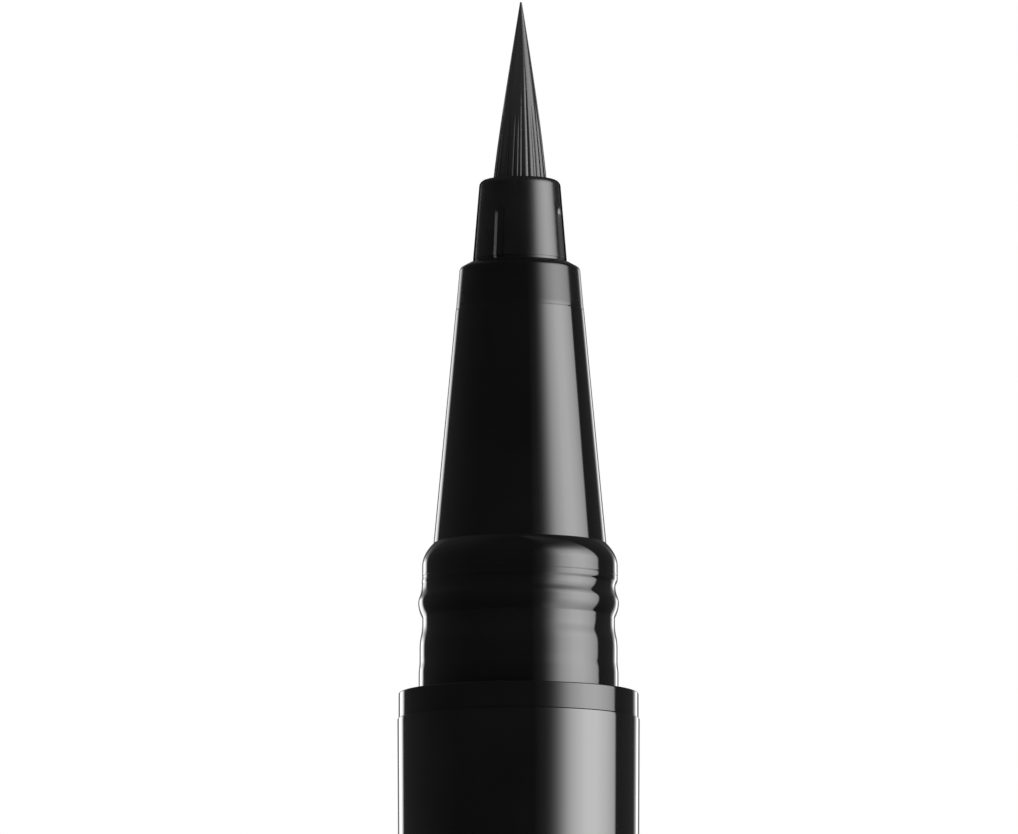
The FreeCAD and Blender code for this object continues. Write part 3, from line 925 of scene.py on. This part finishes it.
def spread(tree, value, low, high, low_in=0.3, high_in=0.7):
    """Spreads a value over a range; unless told, it takes the value for a noise."""
    sockets = {"Value": value, "From Min": low_in, "From Max": high_in, "To Min": low, "To Max": high}
    return add_node(tree, "ShaderNodeMapRange", sockets).outputs["Result"]


def roughened(tree, value, roughness, low, high):
    """A roughness that runs from one share of itself to another with a noise."""
    return spread(tree, value, roughness * low, roughness * high)


def shade(colour, share):
    """A colour made lighter or darker by a share, as a shader takes it."""
    return tuple(part * share for part in colour) + (1.0,)


def two_shades(tree, value, dark, light, low=0.35, high=0.65):
    """A colour that runs from a dark shade to a light one with a value."""
    ramp = add_node(tree, "ShaderNodeValToRGB", {"Fac": value})
    ramp.color_ramp.elements[0].position = low
    ramp.color_ramp.elements[0].color = dark
    ramp.color_ramp.elements[1].position = high
    ramp.color_ramp.elements[1].color = light
    return ramp.outputs["Color"]


def tinted(tree, value, colour, dark, light, **reach):
    """A colour that runs from one share of itself to another with a value."""
    return two_shades(tree, value, shade(colour, dark), shade(colour, light), **reach)


def bumps(tree, height, depth):
    sockets = {"Height": height, "Distance": depth, "Strength": 1.0}
    return add_node(tree, "ShaderNodeBump", sockets).outputs["Normal"]


def object_coordinates(tree):
    return add_node(tree, "ShaderNodeTexCoord").outputs["Object"]


def height_of(tree, place):
    return add_node(tree, "ShaderNodeSeparateXYZ", {"Vector": place}).outputs["Z"]


def shaded_rim(tree, level, start, end):
    """Level of gloss, which a fine grain hides from itself where it is seen at a low angle."""
    facing = add_node(tree, "ShaderNodeLayerWeight", {"Blend": 0.5}).outputs["Facing"]
    return spread(tree, facing, level, 0.0, start, end)


def gloss_black(finishes, name, ior, satin_from=None):
    """Polished black, with slow flow waves and a faint haze from handling.

    Above the height where it turns satin, if it has one, the finish is rougher and less bright.
    """
    kept = bpy.data.materials.get(name)
    if kept:
        return kept
    finish, tree, shader = start_finish(name, {"IOR": ior})
    place = object_coordinates(tree)
    haze = noise(tree, place, HAZE_SCALE, detail=5.0, roughness=0.6)
    tint = noise(tree, place, GLOSS_TINT_SCALE)
    waves = noise(tree, place, WAVE_SCALE, detail=1.0)
    rough = finishes.gloss_roughness
    looks = {
        "Base Color": tinted(tree, tint, finishes.gloss_colour, dark=0.85, light=1.15),
        "Roughness": roughened(tree, haze, rough, low=0.8, high=1.25),
        "Normal": bumps(tree, waves, WAVE_DEPTH),
    }
    if satin_from is not None:
        satin = spread(tree, height_of(tree, place), 0.0, 1.0, satin_from, satin_from + SATIN_BLEND)
        more = finishes.nose_roughness - rough
        looks["Roughness"] = reckon(tree, "MULTIPLY_ADD", satin, more, looks["Roughness"])
        looks["Specular IOR Level"] = spread(tree, satin, FULL_GLOSS, NOSE_GLOSS, 0.0, 1.0)
    fill(tree, shader, looks)
    return finish


def lacquered_black(finishes):
    return gloss_black(finishes, "lacquered_black", LACQUER_IOR)


def moulded_black(finishes):
    return gloss_black(finishes, "moulded_black", MOULDING_IOR)


def satin_nosed_black(finishes):
    return gloss_black(finishes, "satin_nosed_black", MOULDING_IOR, CONE_RING_Z)


def satin_black(finishes):
    """Spark-eroded black moulding: a fine even grain that spreads the highlight."""
    finish, tree, shader = start_finish("satin_black_moulding", {"IOR": SATIN_IOR})
    place = object_coordinates(tree)
    grain = noise(tree, place, SATIN_GRAIN_SCALE, detail=2.0)
    tint = noise(tree, place, SATIN_TINT_SCALE)
    looks = {
        "Base Color": tinted(tree, tint, finishes.satin_colour, dark=0.85, light=1.15),
        "Roughness": roughened(tree, tint, finishes.satin_roughness, low=0.92, high=1.08),
        "Normal": bumps(tree, grain, SATIN_GRAIN_DEPTH),
        "Specular IOR Level": shaded_rim(tree, *NOZZLE_RIM),
    }
    fill(tree, shader, looks)
    return finish


def inked_fibre(finishes):
    """Fine fibres along the brush, darkened and held together by wet ink, which thins to the point."""
    finish, tree, shader = start_finish("inked_brush_fibre", {"IOR": INK_IOR})
    wrap = add_node(tree, "ShaderNodeTexCoord").outputs["UV"]
    along = add_node(tree, "ShaderNodeMapping", {"Vector": wrap, "Scale": BRUSH_FIBRE_SCALES})
    fibres = noise(tree, along.outputs["Vector"], scale=1.0, detail=2.0, roughness=0.6)
    height = height_of(tree, object_coordinates(tree))
    thin = spread(tree, height, 0.0, INK_THINNING, NOZZLE_TOP_Z, BRUSH_HIGH.z)
    wear = reckon(tree, "ADD", fibres, thin)
    looks = {
        "Base Color": tinted(tree, wear, finishes.ink_colour, dark=0.6, light=2.4, low=0.3, high=1.0),
        "Roughness": roughened(tree, fibres, finishes.ink_roughness, low=1.3, high=0.75),
        "Normal": bumps(tree, fibres, BRUSH_FIBRE_DEPTH),
        "Specular IOR Level": shaded_rim(tree, *BRUSH_RIM),
    }
    fill(tree, shader, looks)
    return finish


def natural_plastic(finishes, name, lightness, roughness):
    """Undyed moulding, slightly cloudy, with a fine grain."""
    inside = {
        "IOR": NATURAL_IOR,
        "Subsurface Weight": 0.15,
        "Subsurface Radius": NATURAL_GLOW_REACH,
        "Subsurface Scale": 1.0,
    }
    finish, tree, shader = start_finish(name, inside)
    place = object_coordinates(tree)
    clouds = noise(tree, place, CLOUD_SCALE, detail=4.0)
    grain = noise(tree, place, NATURAL_GRAIN_SCALE, detail=2.0)
    dark = 0.9 * lightness
    light = 1.05 * lightness
    looks = {
        "Base Color": tinted(tree, clouds, finishes.natural_colour, dark, light),
        "Roughness": roughened(tree, clouds, roughness, low=0.9, high=1.15),
        "Normal": bumps(tree, grain, NATURAL_GRAIN_DEPTH),
    }
    fill(tree, shader, looks)
    return finish


def wick_fibre(finishes):
    """Bonded fibres along the wick, soaked dark at the tank and paler towards the brush."""
    finish, tree, shader = start_finish("wick_fibre", {"Roughness": 0.85})
    place = object_coordinates(tree)
    along = add_node(tree, "ShaderNodeMapping", {"Vector": place, "Scale": WICK_FIBRE_SCALES})
    fibres = noise(tree, along.outputs["Vector"], scale=1.0)
    soak = spread(tree, height_of(tree, place), 0.0, 1.0, WICK_LOW.z, WICK_HIGH.z)
    soaked = reckon(tree, "ADD", soak, fibres)
    wet = shade(finishes.ink_colour, 2.0)
    dry = shade(finishes.wick_colour, 0.35)
    looks = {
        "Base Color": two_shades(tree, soaked, wet, dry, low=0.5, high=1.0),
        "Normal": bumps(tree, fibres, WICK_FIBRE_DEPTH),
    }
    fill(tree, shader, looks)
    return finish


def steel(finishes, name, roughness, mark_scale):
    """Bright steel with fine drawing or rolling marks."""
    finish, tree, shader = start_finish(name, {"Metallic": 1.0})
    place = object_coordinates(tree)
    marks = noise(tree, place, mark_scale, detail=4.0, roughness=0.65)
    looks = {
        "Base Color": tinted(tree, marks, finishes.steel_colour, dark=0.8, light=1.1),
        "Roughness": roughened(tree, marks, roughness, low=0.7, high=1.4),
        "Normal": bumps(tree, marks, STEEL_MARK_DEPTH),
    }
    fill(tree, shader, looks)
    return finish


# Pieces


def vented_nozzle(sizes):
    """The nozzle's surface on a grid that is drawn to the vents' edges.

    The outline turns about an upright axis, which stands to the right by the parting shift. Across
    each vent's floor the radius is less by the vent's depth, and is divided by the cosine of the
    angle from the vent's middle, so the floor is flat. The depth runs out in an S below the vent's
    top end. The columns beside a vent keep half its width from its middle at every radius, so it has
    straight edges, and its walls slope from them to the floor. Between the vents the columns are
    spaced by a cosine, which crowds them at the edges.
    """
    outline = nozzle_outline()
    radius = outline[:, :1]
    outside = np.arange(len(outline)) < np.argmax(outline[:, 1]) + 1
    run_out = 1.0 - smooth_step(VENT_TOP_Z - VENT_RUN_OUT, VENT_TOP_Z, outline[:, 1])
    depth = (sizes.vent_depth * run_out * outside)[:, None]
    half_turn = np.arcsin(np.minimum(sizes.vent_width / 2.0 / radius, 1.0))
    pitch = 2.0 * np.pi / VENT_COUNT
    floor_place = np.linspace(-VENT_FLOOR_SHARE, VENT_FLOOR_SHARE, VENT_FLOOR_POINTS)
    land_place = (1.0 - np.cos(np.linspace(0.0, np.pi, VENT_LAND_POINTS))) / 2.0
    floor_angle = half_turn * floor_place
    land_angle = half_turn + (pitch - 2.0 * half_turn) * land_place
    floor_radius = np.minimum(radius, (radius - depth) / np.cos(floor_angle))
    land_radius = np.broadcast_to(radius, land_angle.shape)
    sector_angle = np.concatenate((floor_angle, land_angle), axis=1)
    sector_radius = np.concatenate((floor_radius, land_radius), axis=1)
    turns = VENT_TURN + pitch * np.arange(VENT_COUNT)
    angle = np.concatenate([sector_angle + turn for turn in turns], axis=1)
    reach = np.tile(sector_radius, (1, VENT_COUNT))
    points = round_grid(reach, angle, outline[:, 1:], sizes.parting_shift)
    return mesh_from_grid("nozzle_body", points, closed_rows=True)


def fluted_brush(sizes):
    """The brush's surface: its outline turned about Z, less the clefts between the wet clumps.

    The clefts part the surface into clumps, which have the same number of columns each. From the
    middle of a clump the surface falls away to the cleft at each side with a power of the distance,
    so the clump is round and the cleft sharp. A cleft is deepest at the root and fades out on the
    way up, each at its own height. The axis stands to the right by the parting shift, and leans
    further with the sine of the height.
    """
    draws = np.random.default_rng(BRUSH_SEED)
    front = np.array(FRONT_CLEFTS)
    count = sizes.back_clumps
    widths = LEAST_CLUMP_WIDTH + draws.random(count)
    back = front[-1, 0] + (360.0 + front[0, 0] - front[-1, 0]) * np.cumsum(widths) / widths.sum()
    back_depths = LEAST_BACK_DEPTH + BACK_DEPTH_SPREAD * draws.random(count - 1)
    back_ends = LEAST_BACK_END + BACK_END_SPREAD * draws.random(count - 1)
    depth_shares = np.append(front[:, 1], back_depths)
    end_shares = np.append(front[:, 2], back_ends)
    clefts = np.radians(np.append(front[:, 0], back)) - np.pi / 2.0
    place = np.linspace(-1.0, 1.0, CLUMP_COLUMNS, endpoint=False)
    middle = (clefts[1:] + clefts[:-1]) / 2.0
    half_turn = np.diff(clefts) / 2.0
    angle = (middle[:, None] + half_turn[:, None] * place).ravel()
    outline = brush_outline()
    radius = outline[1:-1, 0]
    height = outline[1:-1, 1]
    rise = np.maximum((height - NOZZLE_TOP_Z) / (BRUSH_HIGH.z - NOZZLE_TOP_Z), 0.0)
    above_flange = smooth_step(BRUSH_SEAT_Z, BRUSH_SEAT_Z + BRUSH_FLANGE_THICKNESS, height)
    strength = sizes.cleft_depth * above_flange * radius / BRUSH_RADIUS
    fade = 1.0 - smooth_step(FADE_START_SHARE * end_shares, end_shares, rise[:, None])
    depth = strength[:, None] * depth_shares * fade
    left = np.repeat(depth, CLUMP_COLUMNS, axis=1)
    right = np.repeat(np.roll(depth, -1, axis=1), CLUMP_COLUMNS, axis=1)
    way = np.tile(place, len(middle))
    fall = np.where(way < 0.0, left, right) * np.abs(way) ** CLUMP_POWER
    reach = radius[:, None] - fall
    lean = sizes.parting_shift + sizes.brush_lean * np.sin(np.pi / 2.0 * rise)
    points = round_grid(reach, angle, height[:, None], lean[:, None])
    poles = ((lean[0], 0.0, outline[0, 1]), (lean[-1], 0.0, outline[-1, 1]))
    return mesh_from_grid("brush_fibres", points, poles=poles, wrap_map=True)


def coiled_spring():
    """A round wire carried along a helix.

    The helix climbs evenly at its own radius. The wire's circle stands square to it, on the way
    out from the axis and on the way across the climb.
    """
    turns = np.arange(SPRING_TURNS * SPRING_ROWS_IN_TURN + 1) / SPRING_ROWS_IN_TURN
    low = SPRING_LOW.z + SPRING_WIRE_RADIUS
    high = SPRING_HIGH.z - SPRING_WIRE_RADIUS
    radius = SPRING_HIGH.x - SPRING_WIRE_RADIUS
    angle = 2.0 * np.pi * turns
    climb = (high - low) / SPRING_TURNS
    slope = math.atan2(climb, 2.0 * math.pi * radius)
    flat = np.zeros_like(angle)
    out = np.stack((np.cos(angle), np.sin(angle), flat), axis=-1)
    round_way = np.stack((-np.sin(angle), np.cos(angle), flat), axis=-1)
    upright = np.array([0.0, 0.0, math.cos(slope)]) - math.sin(slope) * round_way
    centre = radius * out + np.stack((flat, flat, low + climb * turns), axis=-1)
    wire = -2.0 * np.pi * np.arange(SPRING_COLUMNS) / SPRING_COLUMNS
    points = centre[:, None, :] + SPRING_WIRE_RADIUS * (
        np.cos(wire)[:, None] * out[:, None, :] + np.sin(wire)[:, None] * upright[:, None, :]
    )
    return mesh_from_grid("cap_spring_coil", points, poles=(centre[0], centre[-1]))


class EYELINER_OT_brush(bpy.types.Operator):
    """Makes the brush"""

    bl_idname = "eyeliner.brush"
    bl_label = "Brush"

    def execute(self, context):
        finish = inked_fibre(context.scene.pen_finishes)
        dress(fluted_brush(context.scene.pen_sizes), "pen", "brush_tuft", finish)
        return {"FINISHED"}


class EYELINER_OT_nozzle(bpy.types.Operator):
    """Makes the nozzle round the brush"""

    bl_idname = "eyeliner.nozzle"
    bl_label = "Nozzle"

    def execute(self, context):
        finish = satin_black(context.scene.pen_finishes)
        dress(vented_nozzle(context.scene.pen_sizes), "pen", "tip_nozzle", finish)
        return {"FINISHED"}


class EYELINER_OT_front_barrel(bpy.types.Operator):
    """Makes the cone, neck and collar"""

    bl_idname = "eyeliner.front_barrel"
    bl_label = "Front barrel"

    def execute(self, context):
        sizes = context.scene.pen_sizes
        shift = sizes.parting_shift

        def drift(height):
            return shift * smooth_step(PARTING_Z - PARTING_BLEND, PARTING_Z + PARTING_BLEND, height)

        piece = turned("front_shell", front_barrel_outline(sizes), sizes.columns, drift, True)
        dress(piece, "pen", "front_barrel", satin_nosed_black(context.scene.pen_finishes))
        return {"FINISHED"}


class EYELINER_OT_barrel(bpy.types.Operator):
    """Makes the barrel"""

    bl_idname = "eyeliner.barrel"
    bl_label = "Barrel"

    def execute(self, context):
        columns = context.scene.pen_sizes.columns
        piece = turned("barrel_tube", barrel_outline(), columns, closed=True)
        dress(piece, "pen", "barrel", lacquered_black(context.scene.pen_finishes))
        return {"FINISHED"}


class EYELINER_OT_tail_plug(bpy.types.Operator):
    """Makes the plug in the barrel's tail"""

    bl_idname = "eyeliner.tail_plug"
    bl_label = "Tail plug"

    def execute(self, context):
        sizes = context.scene.pen_sizes
        piece = turned("tail_plug_body", tail_plug_outline(sizes), sizes.columns)
        dress(piece, "pen", "tail_plug", moulded_black(context.scene.pen_finishes))
        return {"FINISHED"}


class EYELINER_OT_cap(bpy.types.Operator):
    """Makes the cap, its inner cap and the spring between them"""

    bl_idname = "eyeliner.cap"
    bl_label = "Cap"

    def execute(self, context):
        columns = context.scene.pen_sizes.columns
        finishes = context.scene.pen_finishes
        shell = turned("cap_body", cap_outline(), columns)
        dress(shell, "cap", "cap_shell", lacquered_black(finishes))
        cup = turned("inner_cap_cup", inner_cap_outline(), columns)
        natural = natural_plastic(finishes, "inner_cap_moulding", lightness=1.0, roughness=0.42)
        dress(cup, "inner_cap", "inner_cap", natural)
        coil = coiled_spring()
        wire = steel(finishes, "drawn_spring_wire", roughness=0.28, mark_scale=SPRING_MARK_SCALE)
        dress(coil, "cap", "cap_spring", wire)
        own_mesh(coil)
        return {"FINISHED"}


class EYELINER_OT_ink_feed(bpy.types.Operator):
    """Gives the wick, collector, tank and stirring ball their finishes"""

    bl_idname = "eyeliner.ink_feed"
    bl_label = "Ink feed"

    def execute(self, context):
        finishes = context.scene.pen_finishes
        wick = wick_fibre(finishes)
        collector = natural_plastic(finishes, "collector_moulding", lightness=0.9, roughness=0.4)
        tank = natural_plastic(finishes, "tank_moulding", lightness=1.1, roughness=0.5)
        ball = steel(finishes, "rolled_ball_steel", roughness=0.16, mark_scale=BALL_MARK_SCALE)
        dressed = {"relay_wick": wick, "ink_collector": collector, "ink_tank": tank, "stirring_ball": ball}
        for node, finish in dressed.items():
            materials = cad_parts[node].data.materials
            materials.clear()
            materials.append(finish)
        return {"FINISHED"}


# Stage


def ramp_of(tree, value, stops):
    """A ramp of grey levels over a value from 0 to 1, with its stops given as place and level."""
    ramp = add_node(tree, "ShaderNodeValToRGB", {"Fac": value})
    elements = ramp.color_ramp.elements
    for _ in range(len(stops) - len(elements)):
        elements.new(0.5)
    for element, (place, level) in zip(elements, stops):
        element.position = place
        element.color = (level, level, level, 1.0)
    return ramp.outputs["Color"]


def light_in_gloss(tree, ring_place, rise_place, ring, rise, level):
    """Level of one light: its share round the studio, times its share up it, times its own level."""
    ring_stops = [(angle / 360.0 + 0.5, share) for angle, share in ring]
    rise_stops = [(math.sin(math.radians(angle)) / 2.0 + 0.5, share) for angle, share in rise]
    across = ramp_of(tree, ring_place, ring_stops)
    share = reckon(tree, "MULTIPLY", across, ramp_of(tree, rise_place, rise_stops))
    return reckon(tree, "MULTIPLY", share, level)


def glow(tree, level):
    """White light of a level from the world."""
    sockets = {"Color": (1.0, 1.0, 1.0, 1.0), "Strength": level}
    return add_node(tree, "ShaderNodeBackground", sockets).outputs["Background"]


def light_studio(studio):
    """The world: white behind the pen, soft light from all round, and a dark studio in its gloss.

    The gloss sees a tall softbox on the right and two white cards behind, in a dark room.
    """
    world = bpy.data.worlds.new("studio")
    bpy.context.scene.world = world
    world.use_nodes = True
    world.cycles.sampling_method = "NONE"
    tree = world.node_tree
    tree.nodes.clear()
    ray = add_node(tree, "ShaderNodeLightPath").outputs
    way = add_node(tree, "ShaderNodeTexCoord").outputs["Generated"]
    parts = add_node(tree, "ShaderNodeSeparateXYZ", {"Vector": way}).outputs
    azimuth = reckon(tree, "ARCTAN2", parts["X"], reckon(tree, "MULTIPLY", parts["Y"], -1.0))
    ring_place = spread(tree, azimuth, 0.0, 1.0, -math.pi, math.pi)
    rise_place = spread(tree, parts["Z"], 0.0, 1.0, -1.0, 1.0)
    strip = light_in_gloss(tree, ring_place, rise_place, STRIP_RING, STRIP_RISE, studio.strip_level)
    rims = light_in_gloss(tree, ring_place, rise_place, RIM_RING, RIM_RISE, studio.rim_level)
    room = light_in_gloss(tree, ring_place, rise_place, ROOM_RING, ROOM_RISE, studio.room_level)
    level = reckon(tree, "ADD", reckon(tree, "ADD", strip, rims), room)
    lit = mixed(tree, ray["Is Glossy Ray"], glow(tree, studio.ambient_level), glow(tree, level))
    seen = reckon(tree, "MAXIMUM", ray["Is Camera Ray"], ray["Is Transmission Ray"])
    add_node(tree, "ShaderNodeOutputWorld", {"Surface": mixed(tree, seen, lit, glow(tree, 1.0))})


def hang_key_lamp(studio):
    """A broad lamp above and to the right, which the gloss doesn't show."""
    lamp = bpy.data.lights.new("key_lamp", "SUN")
    lamp.energy = studio.key_level
    lamp.angle = KEY_SPREAD
    thing = bpy.data.objects.new("key_lamp", lamp)
    thing.rotation_euler = KEY_TURN
    thing.visible_glossy = False
    bpy.context.scene.collection.objects.link(thing)


def floor_finish(studio):
    """Matt pale floor that fades out towards its rim."""
    finish, tree, shader = start_finish("pale_floor", {"Roughness": 0.7})
    place = object_coordinates(tree)
    tint = noise(tree, place, FLOOR_TINT_SCALE, detail=4.0)
    fill(tree, shader, {"Base Color": tinted(tree, tint, studio.floor_colour, dark=0.985, light=1.0)})
    distance = add_node(tree, "ShaderNodeVectorMath", {0: place}, operation="LENGTH").outputs["Value"]
    rim = studio.floor_radius
    share = spread(tree, distance, 0.0, 1.0, rim * FLOOR_FADE_SHARE, rim)
    clear = add_node(tree, "ShaderNodeBsdfTransparent").outputs["BSDF"]
    faded = mixed(tree, share, shader.outputs["BSDF"], clear)
    fill(tree, tree.nodes["Material Output"], {"Surface": faded})
    return finish


def lay_floor(studio):
    """A disc: rings of points round the pen, evenly spaced from its rim to its hub."""
    angle = 2.0 * np.pi * np.arange(FLOOR_COLUMNS) / FLOOR_COLUMNS
    reach = studio.floor_radius * np.linspace(1.0, FLOOR_HUB_SHARE, FLOOR_ROWS)[:, None]
    points = round_grid(reach, angle, FLOOR_Z)
    floor = mesh_from_grid("floor", points, poles=(None, (0.0, 0.0, FLOOR_Z)))
    floor.data.materials.append(floor_finish(studio))
    floor.visible_glossy = False


def place_camera(studio):
    """Looks at the middle of the view from the front, a little from below, through a long lens."""
    camera = bpy.data.cameras.new("camera")
    camera.sensor_fit = "HORIZONTAL"
    camera.sensor_width = SENSOR_WIDTH
    camera.lens = SENSOR_WIDTH * studio.camera_distance / studio.view_width
    camera.clip_start = CLIP_START
    camera.clip_end = CLIP_END
    thing = bpy.data.objects.new("camera", camera)
    centre = studio.view_centre
    tilt = studio.camera_elevation
    thing.location = (
        centre[0],
        centre[1] - studio.camera_distance * math.cos(tilt),
        centre[2] + studio.camera_distance * math.sin(tilt),
    )
    thing.rotation_euler = (math.pi / 2.0 - tilt, 0.0, 0.0)
    bpy.context.scene.collection.objects.link(thing)
    bpy.context.scene.camera = thing


class EYELINER_OT_stage(bpy.types.Operator):
    """Lays the floor, hangs the light and places the camera"""

    bl_idname = "eyeliner.stage"
    bl_label = "Stage"

    def execute(self, context):
        studio = context.scene.pen_studio
        context.scene.view_settings.view_transform = "Standard"
        light_studio(studio)
        hang_key_lamp(studio)
        lay_floor(studio)
        place_camera(studio)
        return {"FINISHED"}


OPERATORS = (
    EYELINER_OT_brush,
    EYELINER_OT_nozzle,
    EYELINER_OT_front_barrel,
    EYELINER_OT_barrel,
    EYELINER_OT_tail_plug,
    EYELINER_OT_cap,
    EYELINER_OT_ink_feed,
    EYELINER_OT_stage,
)


class EYELINER_PT_pieces(bpy.types.Panel):
    """Lists the pen's pieces and its stage"""

    bl_idname = "EYELINER_PT_pieces"
    bl_label = "Eyeliner pen"
    bl_space_type = "VIEW_3D"
    bl_region_type = "UI"
    bl_category = "Eyeliner"

    def draw(self, context):
        for operator in OPERATORS:
            self.layout.operator(operator.bl_idname)
        for group in (context.scene.pen_sizes, context.scene.pen_finishes, context.scene.pen_studio):
            for name in group.__annotations__:
                self.layout.prop(group, name)


GROUPS = {"pen_sizes": PenSizes, "pen_finishes": PenFinishes, "pen_studio": PenStudio}
CLASSES = (*GROUPS.values(), *OPERATORS, EYELINER_PT_pieces)


def register():
    for kind in CLASSES:
        bpy.utils.register_class(kind)
    for name, group in GROUPS.items():
        setattr(bpy.types.Scene, name, PointerProperty(type=group))


def unregister():
    for name in GROUPS:
        delattr(bpy.types.Scene, name)
    for kind in reversed(CLASSES):
        bpy.utils.unregister_class(kind)


def main():
    register()
    bpy.ops.eyeliner.brush()
    bpy.ops.eyeliner.nozzle()
    bpy.ops.eyeliner.front_barrel()
    bpy.ops.eyeliner.barrel()
    bpy.ops.eyeliner.tail_plug()
    bpy.ops.eyeliner.cap()
    bpy.ops.eyeliner.ink_feed()
    bpy.ops.eyeliner.stage()


if __name__ == "__main__":
    main()
